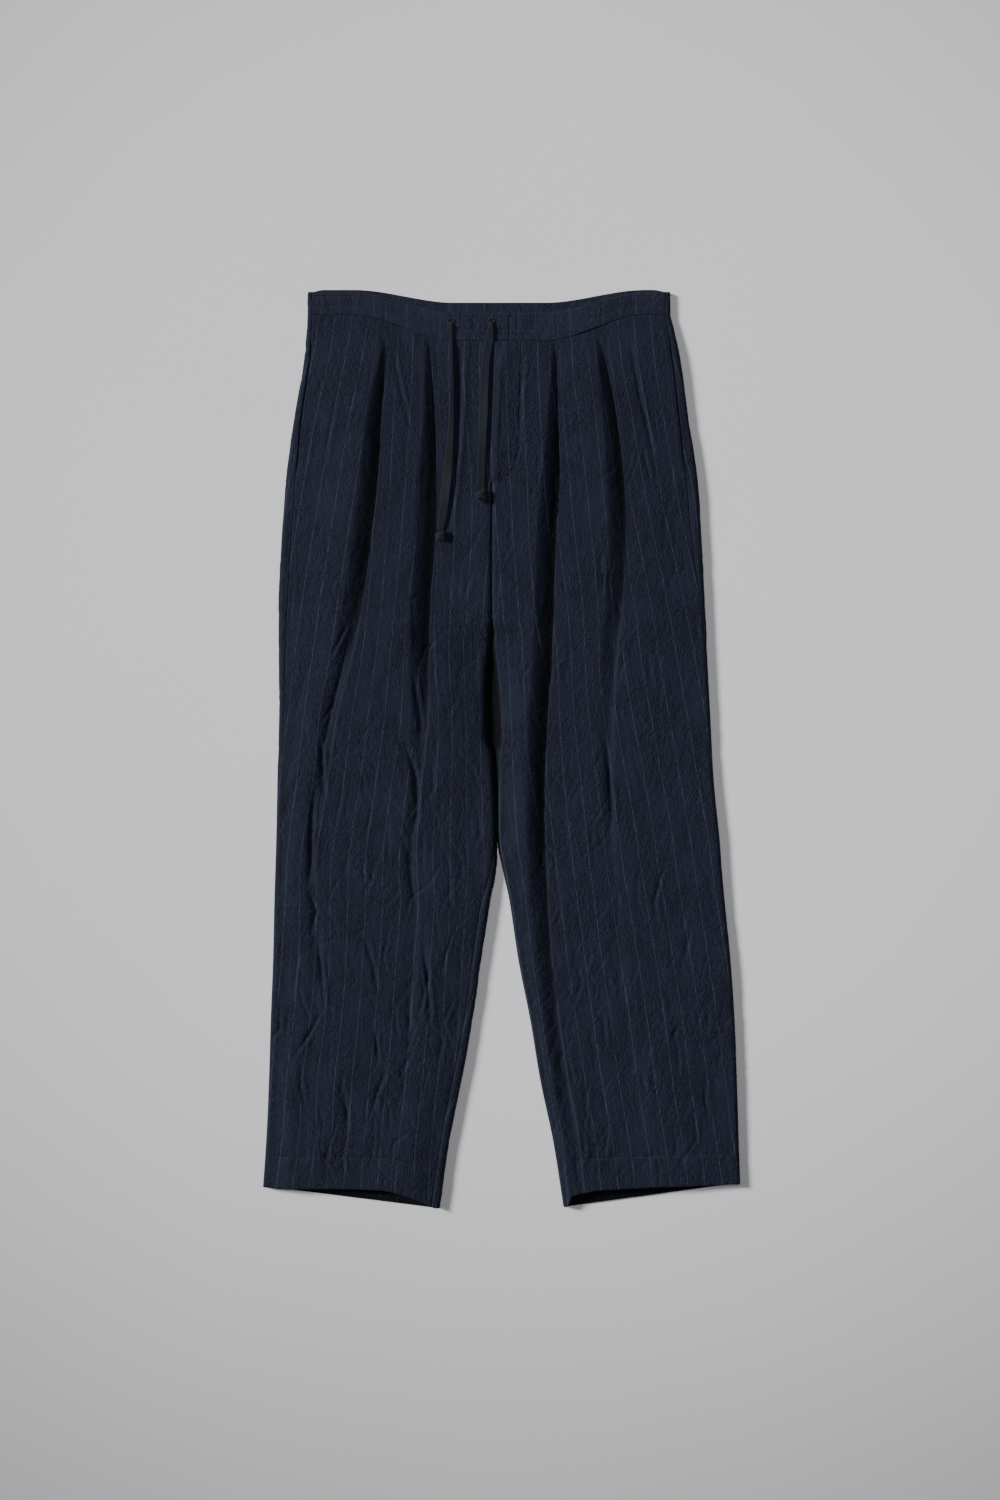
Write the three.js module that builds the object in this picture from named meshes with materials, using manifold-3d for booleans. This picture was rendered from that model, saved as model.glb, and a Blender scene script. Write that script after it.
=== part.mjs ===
// A pair of pleated wool trousers with a drawcord waist, laid flat on their back.
// Millimetres. X runs to the wearer's left, Y up to the waist and Z up from the surface below.
import * as THREE from "three";
import { mergeVertices } from "three/addons/utils/BufferGeometryUtils.js";
import Module from "manifold-3d";

// Cloth and seams
const CLOTH = 1.3;
const HEM_CLOTH = 2.0;
const BAND_CLOTH = 2.4;
const SEAM_GAP = 0.3;
const HEM_DEPTH = 33;

// Lengths along the garment, from the waist down
const BAND_SEAM_Y = 475.8;
const LEG_END_Y = -478;
const HEM_STITCH_Y = LEG_END_Y + HEM_DEPTH;
const BAND_HEIGHT = 25.2;

// Heights of the laid tube: half the height of its side folds, what the cloth between them rises by, and
// the share of the width over which it rises
const WAIST_FOLD_RISE = 4;
const LEG_FOLD_RISE = 5;
const WAIST_CROWN = 0.4;
const HIP_CROWN = 5.2;
const LEG_CROWN = 3.4;
const CROWN_EDGE = 0.2;
const CROWN_GROWS = 85;
const RISE_GROWS = 45;
const HIP_CROWN_ENDS = { top: 90, bottom: -60 };

// The waist sags between the hips: the middle stretch is level and lowest
const SAG = {
  centre: -2, flatHalf: 50, fullHalf: 160, frontTop: 22, frontSeam: 28.6, backTop: 14, backSeam: 14,
};
const SAG_FADE = 130;
const BACK_TOP_RISE = 3.2;
const BACK_TOP_CORNER = 18;

// The crotch, where one tube becomes two, and the centre line above it
const CROTCH = { top: 142, bottom: 112 };
const CENTRE_LINE = [
  { y: 476, x: -5 },
  { y: 427, x: -6.5 },
  { y: 361, x: -9 },
  { y: 295, x: -10.5 },
  { y: 100, x: -10.5 },
];

// The folds that run down from the waist: how far a fold's hollow leans to the wearer's left as it deepens,
// and the width of the stretch of cloth about each that has close columns
const FOLD_LEAN = 0.8;
const FOLD_REACH = 14;
const FOLD_STARTS = 16;

// Each leg by rows: its outer and inner edges, the lines of its two folds, and how far the back wraps
// over on to the front at each edge
const RIGHT_LEG = [
  { y: 476, outer: -213, outerFold: -126, innerFold: -83, inner: -5, outerWrap: 5.5, innerWrap: 0 },
  { y: 427, outer: -217, outerFold: -130, innerFold: -80, inner: -6.5, outerWrap: 6, innerWrap: 0 },
  { y: 361, outer: -228, outerFold: -138, innerFold: -78, inner: -9, outerWrap: 7.5, innerWrap: 0 },
  { y: 295, outer: -237, outerFold: -143, innerFold: -79, inner: -10.5, outerWrap: 11, innerWrap: 0 },
  { y: 229, outer: -241.5, outerFold: -151, innerFold: -81, inner: -10.5, outerWrap: 11, innerWrap: 0 },
  { y: 163, outer: -244, outerFold: -160, innerFold: -86, inner: -10.5, outerWrap: 9.5, innerWrap: 0 },
  { y: 97, outer: -244, outerFold: -172, innerFold: -88, inner: -10.5, outerWrap: 7, innerWrap: 0 },
  { y: 31, outer: -244, outerFold: -188, innerFold: -87, inner: -8.6, outerWrap: 5, innerWrap: 0 },
  { y: -35, outer: -246, outerFold: -198, innerFold: -93, inner: -6.2, outerWrap: 1, innerWrap: 0 },
  { y: -101, outer: -247.5, outerFold: -207, innerFold: -98, inner: -5.8, outerWrap: 0, innerWrap: 2 },
  { y: -134, outer: -248.5, outerFold: -208, innerFold: -98, inner: -6.5, outerWrap: 0, innerWrap: 6 },
  { y: -167, outer: -249.5, outerFold: -205, innerFold: -95, inner: -12.5, outerWrap: 0, innerWrap: 9 },
  { y: -233, outer: -251, outerFold: -201, innerFold: -98, inner: -22.5, outerWrap: 0, innerWrap: 9.5 },
  { y: -299, outer: -253.5, outerFold: -205, innerFold: -101, inner: -31.5, outerWrap: 0, innerWrap: 9.5 },
  { y: -365, outer: -255.5, outerFold: -213, innerFold: -106, inner: -44, outerWrap: 0, innerWrap: 9.5 },
  { y: -431, outer: -258.5, outerFold: -214, innerFold: -113, inner: -57, outerWrap: 0, innerWrap: 9.5 },
  { y: -504, outer: -263.6, outerFold: -216, innerFold: -120, inner: -68, outerWrap: 0, innerWrap: 9 },
];
const LEFT_LEG = [
  { y: 476, outer: 185.5, outerFold: 103, innerFold: 58, inner: -5, outerWrap: 5.5, innerWrap: 0 },
  { y: 427, outer: 196, outerFold: 110, innerFold: 58, inner: -6.5, outerWrap: 8, innerWrap: 0 },
  { y: 361, outer: 206, outerFold: 120.5, innerFold: 57.5, inner: -9, outerWrap: 10, innerWrap: 0 },
  { y: 295, outer: 215, outerFold: 126.5, innerFold: 56, inner: -10.5, outerWrap: 12, innerWrap: 0 },
  { y: 229, outer: 219.5, outerFold: 129, innerFold: 51.5, inner: -10.5, outerWrap: 10.5, innerWrap: 0 },
  { y: 163, outer: 223, outerFold: 126, innerFold: 49.5, inner: -10.5, outerWrap: 5, innerWrap: 0 },
  { y: 97, outer: 226, outerFold: 120, innerFold: 47, inner: -10.5, outerWrap: 0, innerWrap: 0 },
  { y: 31, outer: 229.5, outerFold: 117, innerFold: 42.5, inner: -8.2, outerWrap: 0, innerWrap: 0 },
  { y: -35, outer: 233, outerFold: 118, innerFold: 39.5, inner: -5.7, outerWrap: 0, innerWrap: 0 },
  { y: -101, outer: 239.5, outerFold: 120, innerFold: 40, inner: -4.6, outerWrap: 0, innerWrap: 0 },
  { y: -134, outer: 242, outerFold: 121, innerFold: 42, inner: 1.5, outerWrap: 0, innerWrap: 0 },
  { y: -167, outer: 245, outerFold: 124, innerFold: 44, inner: 8.5, outerWrap: 0, innerWrap: 0 },
  { y: -233, outer: 251.5, outerFold: 130, innerFold: 49, inner: 18.5, outerWrap: 0, innerWrap: 0 },
  { y: -299, outer: 256, outerFold: 138, innerFold: 57, inner: 31.5, outerWrap: 0, innerWrap: 0 },
  { y: -365, outer: 258.5, outerFold: 146, innerFold: 67, inner: 42.5, outerWrap: 0, innerWrap: 0 },
  { y: -431, outer: 260.5, outerFold: 156, innerFold: 80, inner: 56.5, outerWrap: 0, innerWrap: 0 },
  { y: -504, outer: 263, outerFold: 164, innerFold: 92, inner: 68, outerWrap: 0, innerWrap: 0 },
];

// The folds by rows: how deep and how wide each is
const RIGHT_FOLDS = [
  { y: 476, outerDepth: 0, outerWidth: 9, innerDepth: 0, innerWidth: 9 },
  { y: 446, outerDepth: 0.8, outerWidth: 9, innerDepth: 0.6, innerWidth: 9 },
  { y: 420, outerDepth: 6.5, outerWidth: 10, innerDepth: 6.5, innerWidth: 10 },
  { y: 383, outerDepth: 10, outerWidth: 11, innerDepth: 10, innerWidth: 11 },
  { y: 273, outerDepth: 10.2, outerWidth: 12, innerDepth: 10.3, innerWidth: 13 },
  { y: 207, outerDepth: 9.2, outerWidth: 12, innerDepth: 10.3, innerWidth: 14 },
  { y: 119, outerDepth: 6, outerWidth: 13, innerDepth: 10, innerWidth: 14 },
  { y: 75, outerDepth: 3.8, outerWidth: 14, innerDepth: 7.4, innerWidth: 13 },
  { y: -12, outerDepth: 3, outerWidth: 14, innerDepth: 3, innerWidth: 12 },
  { y: -101, outerDepth: 3, outerWidth: 12, innerDepth: 2.4, innerWidth: 12 },
  { y: -233, outerDepth: 2.6, outerWidth: 12, innerDepth: 1.6, innerWidth: 12 },
  { y: -340, outerDepth: 2, outerWidth: 13, innerDepth: 1.8, innerWidth: 13 },
  { y: -431, outerDepth: 0.8, outerWidth: 13, innerDepth: 0.6, innerWidth: 13 },
  { y: -504, outerDepth: 0, outerWidth: 13, innerDepth: 0, innerWidth: 13 },
];
const LEFT_FOLDS = [
  { y: 476, outerDepth: 0, outerWidth: 9, innerDepth: 0, innerWidth: 9 },
  { y: 446, outerDepth: 0.8, outerWidth: 9, innerDepth: 0.4, innerWidth: 9 },
  { y: 420, outerDepth: 6.5, outerWidth: 10, innerDepth: 4, innerWidth: 9 },
  { y: 383, outerDepth: 10, outerWidth: 11, innerDepth: 8.6, innerWidth: 10 },
  { y: 340, outerDepth: 10.2, outerWidth: 12, innerDepth: 10, innerWidth: 12 },
  { y: 207, outerDepth: 10.2, outerWidth: 13, innerDepth: 10.3, innerWidth: 13 },
  { y: 163, outerDepth: 9.8, outerWidth: 13, innerDepth: 10.3, innerWidth: 14 },
  { y: 119, outerDepth: 6.6, outerWidth: 13, innerDepth: 10.3, innerWidth: 14 },
  { y: 31, outerDepth: 3, outerWidth: 13, innerDepth: 10.2, innerWidth: 14 },
  { y: -57, outerDepth: 2.8, outerWidth: 12, innerDepth: 9.6, innerWidth: 13 },
  { y: -134, outerDepth: 1.6, outerWidth: 12, innerDepth: 7.4, innerWidth: 12 },
  { y: -233, outerDepth: 1.2, outerWidth: 13, innerDepth: 6, innerWidth: 11 },
  { y: -369, outerDepth: 1.2, outerWidth: 14, innerDepth: 4, innerWidth: 10 },
  { y: -431, outerDepth: 0.6, outerWidth: 14, innerDepth: 1.6, innerWidth: 9 },
  { y: -504, outerDepth: 0, outerWidth: 14, innerDepth: 0, innerWidth: 9 },
];

// Hems slope down towards the inner edge, and each front's hem stands a little short of its back's
const HEMS = {
  right: { outerEnd: -481.5, innerEnd: -504.5, frontShort: 7 },
  left: { outerEnd: -478, innerEnd: -503, frontShort: 5.5 },
};
const HEM_FADE = 120;

// Waistband, closed in front just to the wearer's left of the middle
const WAIST = { right: -213, left: 185.5, join: 8.3, sideWrap: 5.5 };
const BAND_DROPS = [0, 8, 17, BAND_HEIGHT];

// Fly: an outer lap on the left front, with a rounded foot
const FLY = {
  top: 446.6, bottom: 291, lap: 1.5, width: 29, round: 38, leastFoot: 0.02, clear: 0.5,
  rows: 13, columns: [0, 0.06, 0.3, 0.6, 1],
};

// Side pocket openings, and the facing seen inside them
const POCKET = {
  top: 452, bottom: 300, extraGap: 1.6, fade: 14, facingBack: 3, facingFront: 15, facingEnds: 8, clear: 0.6,
  rows: 7, columns: [0, 0.2, 0.4, 0.7, 1],
};

// Drawcord: a flat tape from each eyelet, with a knot at its end
const TAPE = { width: 10, thickness: 1.8, sides: 10, stepLength: 22 };
const EYELET = {
  outer: 4.2, hole: 2.1, height: 1.1, bevel: 0.8, sides: 20, y: 468.5, rightX: -55.5, leftX: -11.5,
  drillSides: 12, drillDepth: 7.2,
};
const KNOT = {
  right: { x: 14, y: 12, z: 8.5 }, left: { x: 17, y: 14, z: 9.5 }, around: 14, downwards: 9,
};
const RIGHT_ROUTE = [
  [-55.5, 468.5, 11.1], [-55.4, 463, 11.1], [-55.3, 455, 10.2], [-55.1, 446, 10.3], [-54.9, 430, 12.1],
  [-54.6, 412, 14.8], [-54.4, 394, 16.3], [-54.4, 376, 16.6], [-55, 358, 16.6], [-56, 340, 16.6],
  [-57.2, 322, 16.6], [-58.6, 304, 16.6], [-60.2, 288, 16.6], [-62, 272, 16.6], [-63.8, 258, 16.6],
  [-65.6, 246, 16.6], [-66.6, 238.5, 16.6],
];
const LEFT_ROUTE = [
  [-11.5, 468.5, 11.1], [-11.8, 463, 11.1], [-12.4, 455, 10.2], [-13.6, 446, 10.3], [-16.6, 430, 12.1],
  [-18.2, 412, 14.8], [-18.9, 396, 16.3], [-19.4, 380, 16.6], [-19.9, 364, 16.6], [-20.6, 348, 16.6],
  [-21.4, 332, 16.6], [-21.8, 318, 16.6], [-22.2, 304, 16.6], [-22.4, 292, 16.6], [-22.4, 283.5, 16.6],
];

// Rows and columns of the walls
const LEG_DROPS = [
  0, 10, 22, 38, 58, 84, 116, 152, 190, 228, 264, 298, 322, 338, 350, 364, 386, 420, 460, 504, 550, 600,
  650, 702, 756, 810, 866, BAND_SEAM_Y - HEM_STITCH_Y - 1, BAND_SEAM_Y - HEM_STITCH_Y + 1,
  BAND_SEAM_Y - LEG_END_Y,
];
const FRONT_STATIONS = [
  -0.5, -0.35, -0.18, -0.02, 0.05, 0.12, 0.2, 0.24, 0.27, 0.3, 0.33, 0.36, 0.4, 0.47, 0.53, 0.6, 0.64,
  0.67, 0.7, 0.73, 0.76, 0.8, 0.88, 0.95, 1.02, 1.18, 1.34, 1.5,
];
const BACK_STATIONS = [
  1.5, 1.64, 1.78, 1.92, 2.06, 2.2, 2.32, 2.44, 2.56, 2.68, 2.8, 2.94, 3.06, 3.17, 3.28, 3.39, 3.5,
];
const FRONT_KEEP = { from: 0.2, to: 0.8 };
const BACK_KEEP = { from: 2.06, to: 2.94 };
const WAIST_FOLD_STATIONS = [1.08, 1.25, 1.42, 1.58, 1.75, 1.92, 3.08, 3.25, 3.42, 3.58, 3.75, 3.92];
const LEAST_STEP = 0.003;
const DIFFERENCE_STEP = 0.5;
const LOOP_STEP = 0.004;

const { lerp, clamp, smoothstep } = THREE.MathUtils;

// A column of a table at one height, through its rows on a smooth curve
function sample(table, column, y) {
  const last = table.length - 1;
  let k = 0;
  while (k < last - 1 && table[k + 1].y > y) k += 1;
  const slope = (i) => {
    const above = table[Math.max(i - 1, 0)];
    const below = table[Math.min(i + 1, last)];
    return (below[column] - above[column]) / (below.y - above.y);
  };
  const a = table[k];
  const b = table[k + 1];
  const span = b.y - a.y;
  const t = clamp((y - a.y) / span, 0, 1);
  const rest = 1 - t;
  const ends = a[column] * rest * rest * (1 + 2 * t) + b[column] * t * t * (3 - 2 * t);
  return ends + span * t * rest * (slope(k) * rest - slope(k + 1) * t);
}

// How far the waist sags at a place across it, from 0 at the hips to 1 in the middle
const sagAt = (x) => smoothstep(SAG.fullHalf - Math.abs(x - SAG.centre), 0, SAG.fullHalf - SAG.flatHalf);

// The inner edge of a leg, which is the centre line above the crotch
const innerEdge = (rows, y) =>
  lerp(sample(rows, "inner", y), sample(CENTRE_LINE, "x", y), smoothstep(y, CROTCH.bottom, CROTCH.top));

// A half-cosine hollow, 1 at its middle and 0 from its width on
const hollow = (q) => (Math.abs(q) >= 1 ? 0 : 0.5 + 0.5 * Math.cos(Math.PI * q));

// A leg, with its half of the hips above the crotch
function legTube(side, rows, folds, hem) {
  const open = (y) => 1 - smoothstep(y, CROTCH.bottom, CROTCH.top);
  const tube = {
    side,
    centreEdge: (y) => innerEdge(rows, y) + (side * SEAM_GAP) / 2,
    wraps: (y) => ({
      outer: Math.max(sample(rows, "outerWrap", y), 0),
      inner: Math.max(sample(rows, "innerWrap", y), 0),
      open: open(y),
    }),
    height(across, front, drop) {
      const level = BAND_SEAM_Y - drop;
      const laid = tube.section(level, drop);
      const x = front > 0.5 ? topX(laid, across) : lerp(laid.outerFlat, laid.innerFlat, across);
      const sag = sagAt(x) * lerp(SAG.backSeam, SAG.frontSeam, front) * (1 - smoothstep(drop, 0, SAG_FADE));
      const hemFall = lerp(hem.outerEnd, hem.innerEnd, across) - LEG_END_Y;
      const short = front * hem.frontShort * Math.sin(Math.PI * across);
      const nearHem = 1 - smoothstep(level - LEG_END_Y, 0, HEM_FADE);
      return level - sag + (hemFall + short) * nearHem;
    },
    section(y, drop) {
      const rise = lerp(WAIST_FOLD_RISE, LEG_FOLD_RISE, smoothstep(drop, 0, RISE_GROWS));
      const outer = sample(rows, "outer", y);
      const inner = innerEdge(rows, y) + (side * SEAM_GAP) / 2;
      const outerFold = sample(rows, "outerFold", y);
      const innerFold = sample(rows, "innerFold", y);
      const outerFlat = outer - side * rise;
      const innerFlat = inner + side * rise * Math.sin((open(y) * Math.PI) / 2);
      const knots = [
        outerFlat, outerFold + side * FOLD_REACH, outerFold - side * FOLD_REACH,
        innerFold + side * FOLD_REACH, innerFold - side * FOLD_REACH, innerFlat,
      ];
      return { rise, outerFlat, innerFlat, knots, outerFold, innerFold };
    },
    lift(across, x, y, drop, section) {
      const below = lerp(LEG_CROWN, HIP_CROWN, smoothstep(y, HIP_CROWN_ENDS.bottom, HIP_CROWN_ENDS.top));
      const crown = lerp(WAIST_CROWN, below, smoothstep(drop, 0, CROWN_GROWS));
      const atInner = lerp(1, smoothstep(1 - across, 0, CROWN_EDGE), open(y));
      let z = crown * smoothstep(across, 0, CROWN_EDGE) * atInner;
      let shift = 0;
      for (const fold of ["outer", "inner"]) {
        const width = sample(folds, fold + "Width", y);
        const depth = sample(folds, fold + "Depth", y) * smoothstep(drop, 0, FOLD_STARTS);
        const down = depth * hollow((x - section[fold + "Fold"]) / width);
        z -= down;
        shift += FOLD_LEAN * down;
      }
      return { z, shift };
    },
  };
  return tube;
}

// The waist, one tube across both sides: its outer fold is at the wearer's right and its inner one at the left
const waistTube = {
  side: -1,
  wraps: () => ({ outer: WAIST.sideWrap, inner: WAIST.sideWrap, open: 1 }),
  height(across, front, drop) {
    const x = lerp(WAIST.right, WAIST.left, across);
    const part = drop / BAND_HEIGHT;
    const backSag = lerp(SAG.backTop, SAG.backSeam, part);
    const frontSag = lerp(SAG.frontTop, SAG.frontSeam, part);
    const sag = sagAt(x) * lerp(backSag, frontSag, front);
    const edge = Math.min(x - WAIST.right, WAIST.left - x);
    const backRise = BACK_TOP_RISE * (1 - front) * (1 - part) * smoothstep(edge, 0, BACK_TOP_CORNER);
    return BAND_SEAM_Y + SEAM_GAP + BAND_HEIGHT - drop - sag + backRise;
  },
  section() {
    const rise = WAIST_FOLD_RISE;
    const outerFlat = WAIST.right + rise;
    const innerFlat = WAIST.left - rise;
    const knots = [0, 1, 2, 3, 4, 5].map((k) => lerp(outerFlat, innerFlat, k / 5));
    return { rise, outerFlat, innerFlat, knots };
  },
  lift(across) {
    const z = WAIST_CROWN * smoothstep(across, 0, CROWN_EDGE) * smoothstep(1 - across, 0, CROWN_EDGE);
    return { z, shift: 0 };
  },
};

// The place across a section's top at loop position 0 to 1, and back
function topX(section, across) {
  const scaled = clamp(across, 0, 1) * 5;
  const k = Math.min(Math.floor(scaled), 4);
  return lerp(section.knots[k], section.knots[k + 1], scaled - k);
}
function acrossOf(section, x) {
  const { knots } = section;
  const run = Math.sign(knots[5] - knots[0]);
  let k = 0;
  while (k < 4 && (x - knots[k + 1]) * run > 0) k += 1;
  return (k + (x - knots[k]) / (knots[k + 1] - knots[k])) / 5;
}

// A point of a tube laid flat. Its loop runs from 0 to 1 over the top from the outer fold to the inner one,
// from 1 to 2 round the inner fold, from 2 to 3 back along the surface and from 3 to 4 round the outer fold.
function loopPoint(tube, p, drop) {
  const turn = ((p % 4) + 4) % 4;
  const quarter = Math.floor(turn);
  const part = turn - quarter;
  const across = [part, 1, 1 - part, 0][quarter];
  const angle = [0.5, 0.5 - part, -0.5, part - 0.5][quarter] * Math.PI;
  const y = tube.height(across, (1 + Math.sin(angle)) / 2, drop);
  const section = tube.section(y, drop);
  const z = section.rise * (1 + Math.sin(angle));
  if (quarter === 0) {
    const x = topX(section, across);
    const raised = tube.lift(across, x, y, drop, section);
    return new THREE.Vector3(x + raised.shift, y, z + raised.z);
  }
  const x = {
    1: section.innerFlat - tube.side * section.rise * Math.cos(angle),
    2: lerp(section.outerFlat, section.innerFlat, across),
    3: section.outerFlat + tube.side * section.rise * Math.cos(angle),
  }[quarter];
  return new THREE.Vector3(x, y, z);
}

// The loop position that lies a distance along the cloth above the outermost line of a fold
function foldStation(section, wrap, gap, inner) {
  const radius = section.rise;
  const quarterTurn = (radius * Math.PI) / 2;
  const along = (wrap < radius ? Math.acos(1 - wrap / radius) * radius : quarterTurn + wrap - radius) + gap;
  if (along < quarterTurn) return inner ? 1.5 - along / (2 * quarterTurn) : 3.5 + along / (2 * quarterTurn);
  const [first, last] = inner ? [section.knots[5], section.knots[0]] : [section.knots[0], section.knots[5]];
  const across = acrossOf(section, first + Math.sign(last - first) * (along - quarterTurn));
  return inner ? across : 4 + across;
}

// The ends of a tube's front and back on its loop at one row, with the seam gap between them. Where the tube
// is open along its inner edge, the ends meet on that fold, and above the crotch they stop at the centre line.
function seams(tube, drop, pocketGap) {
  const y = tube.height(0, 1, drop);
  const innerY = tube.height(1, 1, drop);
  const { outer } = tube.wraps(y);
  const { inner, open } = tube.wraps(innerY);
  const station = (away) => foldStation(tube.section(y, drop), outer, away, false);
  const innerStation = (away) => foldStation(tube.section(innerY, drop), inner, away, true);
  const half = SEAM_GAP / 2;
  return {
    frontStart: station(half + pocketGap) - 4,
    backEnd: station(-half),
    frontEnd: lerp(1 - LEAST_STEP / 1000, innerStation(half), open),
    backStart: lerp(2, innerStation(-half), open),
  };
}

// Outward normal of a tube's cloth, by differences kept inside the stretch that a piece covers
function outward(tube, p, drop, ends, lastDrop) {
  const back = loopPoint(tube, Math.max(p - LOOP_STEP, ends[0]), drop);
  const ahead = loopPoint(tube, Math.min(p + LOOP_STEP, ends[1]), drop);
  const above = loopPoint(tube, p, Math.max(drop - DIFFERENCE_STEP, 0));
  const below = loopPoint(tube, p, Math.min(drop + DIFFERENCE_STEP, lastDrop));
  const normal = ahead.sub(back).cross(below.sub(above)).multiplyScalar(tube.side);
  if (drop === 0 || drop === lastDrop) normal.y = 0;
  return normal.normalize();
}

// A closed mesh from two matching grids of points, joined round their rim
function wallGeometry(outerGrid, innerGrid) {
  const rows = outerGrid.length;
  const columns = outerGrid[0].length;
  const half = rows * columns;
  const positions = [...outerGrid, ...innerGrid].flat().flatMap((point) => point.toArray());
  const index = [];
  const quad = (a, b, c, d) => index.push(a, b, c, a, c, d);
  for (let j = 0; j < rows - 1; j += 1) {
    for (let i = 0; i < columns - 1; i += 1) {
      const a = j * columns + i;
      quad(a, a + 1, a + 1 + columns, a + columns);
      quad(half + a, half + a + columns, half + a + 1 + columns, half + a + 1);
    }
    const first = j * columns;
    const last = first + columns - 1;
    quad(first, first + columns, half + first + columns, half + first);
    quad(last, half + last, half + last + columns, last + columns);
  }
  for (let i = 0; i < columns - 1; i += 1) {
    const low = (rows - 1) * columns + i;
    quad(i, half + i, half + i + 1, i + 1);
    quad(low, low + 1, half + low + 1, half + low);
  }
  const geometry = new THREE.BufferGeometry();
  geometry.setAttribute("position", new THREE.Float32BufferAttribute(positions, 3));
  geometry.setIndex(facingOut(positions, index));
  return geometry;
}

// The triangles turned so that the body they close has its faces outwards
function facingOut(positions, index) {
  const corner = (i) => new THREE.Vector3().fromArray(positions, 3 * i);
  let volume = 0;
  for (let i = 0; i < index.length; i += 3) {
    volume += corner(index[i]).dot(corner(index[i + 1]).cross(corner(index[i + 2])));
  }
  return volume > 0 ? index : index.reverse();
}

// Stations moved so that those before and after the kept stretch run to a piece's own ends
function spread(stations, keep, start, end) {
  const first = stations[0];
  const last = stations[stations.length - 1];
  return stations.map((p) => {
    if (p < keep.from) return lerp(start, keep.from, (p - first) / (keep.from - first));
    if (p > keep.to) return lerp(keep.to, end, (p - keep.to) / (last - keep.to));
    return p;
  });
}

// A wall along a tube: stationsAt gives its columns at a row, and it lies between two distances out
// from the loop
function tubeWall(tube, drops, lastDrop, stationsAt, insideAt, outsideAt, trim = (point) => point) {
  const grid = (distanceAt) =>
    drops.map((drop) => {
      const stations = stationsAt(drop);
      const ends = [stations[0], stations[stations.length - 1]];
      return stations.map((p) => {
        const normal = outward(tube, p, drop, ends, lastDrop);
        return trim(loopPoint(tube, p, drop).addScaledVector(normal, distanceAt(drop)), drop, p);
      });
    });
  return wallGeometry(grid(outsideAt), grid(insideAt));
}

const rightTube = legTube(-1, RIGHT_LEG, RIGHT_FOLDS, HEMS.right);
const leftTube = legTube(1, LEFT_LEG, LEFT_FOLDS, HEMS.left);
const LAST_LEG_DROP = LEG_DROPS[LEG_DROPS.length - 1];

const pocketGapAt = (drop) => {
  const y = BAND_SEAM_Y - drop;
  const opening = smoothstep(POCKET.top - y, 0, POCKET.fade) * smoothstep(y - POCKET.bottom, 0, POCKET.fade);
  return POCKET.extraGap * opening;
};
const clothAt = (drop) => (BAND_SEAM_Y - drop < HEM_STITCH_Y ? HEM_CLOTH : CLOTH);

// The columns of a panel at one row, as loop positions
function frontStations(tube, drop) {
  const { frontStart, frontEnd } = seams(tube, drop, pocketGapAt(drop));
  return spread(FRONT_STATIONS, FRONT_KEEP, frontStart, frontEnd);
}
function backStations(tube, drop) {
  const { backStart, backEnd } = seams(tube, drop, 0);
  return spread(BACK_STATIONS, BACK_KEEP, backStart, backEnd);
}

// A panel of a leg, kept on its own side of the centre line above the crotch
function panel(tube, stationsOf) {
  const beside = (point) => {
    if (point.y < CROTCH.top) return point;
    const line = tube.centreEdge(point.y);
    point.x = tube.side < 0 ? Math.min(point.x, line) : Math.max(point.x, line);
    return point;
  };
  const inside = (drop) => -clothAt(drop);
  return tubeWall(tube, LEG_DROPS, LAST_LEG_DROP, (drop) => stationsOf(tube, drop), inside, () => 0, beside);
}

// A stretch of the waistband with a column at each of its loop positions
function band(stations) {
  return tubeWall(waistTube, BAND_DROPS, BAND_HEIGHT, () => stations, () => -BAND_CLOTH, () => 0);
}

// The waist's loop positions over the columns of the panels below, so that both sides of the seam match
function waistStations(start, end) {
  const section = waistTube.section();
  const found = WAIST_FOLD_STATIONS.slice();
  for (const tube of [rightTube, leftTube]) {
    const fronts = frontStations(tube, 0).filter((p) => p > 0);
    const backs = backStations(tube, 0).filter((p) => p > 2 && p < 3);
    for (const p of fronts) found.push(acrossOf(section, loopPoint(tube, p, 0).x));
    for (const p of backs) found.push(3 - acrossOf(section, loopPoint(tube, p, 0).x));
  }
  const inside = found.filter((p) => p > start + LEAST_STEP && p < end - LEAST_STEP);
  inside.sort((a, b) => a - b);
  return [start, ...inside.filter((p, i) => i === 0 || p - inside[i - 1] > LEAST_STEP), end];
}

// The strip of the front's pocket that shows through the side opening
function pocketFacing(tube) {
  const top = BAND_SEAM_Y - POCKET.top - POCKET.facingEnds;
  const bottom = BAND_SEAM_Y - POCKET.bottom + POCKET.facingEnds;
  const drops = [];
  for (let j = 0; j <= POCKET.rows; j += 1) drops.push(lerp(top, bottom, j / POCKET.rows));
  const stationsAt = (drop) => {
    const y = tube.height(0, 1, drop);
    const section = tube.section(y, drop);
    const { outer } = tube.wraps(y);
    const start = foldStation(section, outer, -POCKET.facingBack, false) - 4;
    const end = foldStation(section, outer, POCKET.facingFront, false) - 4;
    return POCKET.columns.map((t) => lerp(start, end, t));
  };
  const outside = -CLOTH - POCKET.clear;
  return tubeWall(tube, drops, LAST_LEG_DROP, stationsAt, () => outside - CLOTH, () => outside);
}

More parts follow.
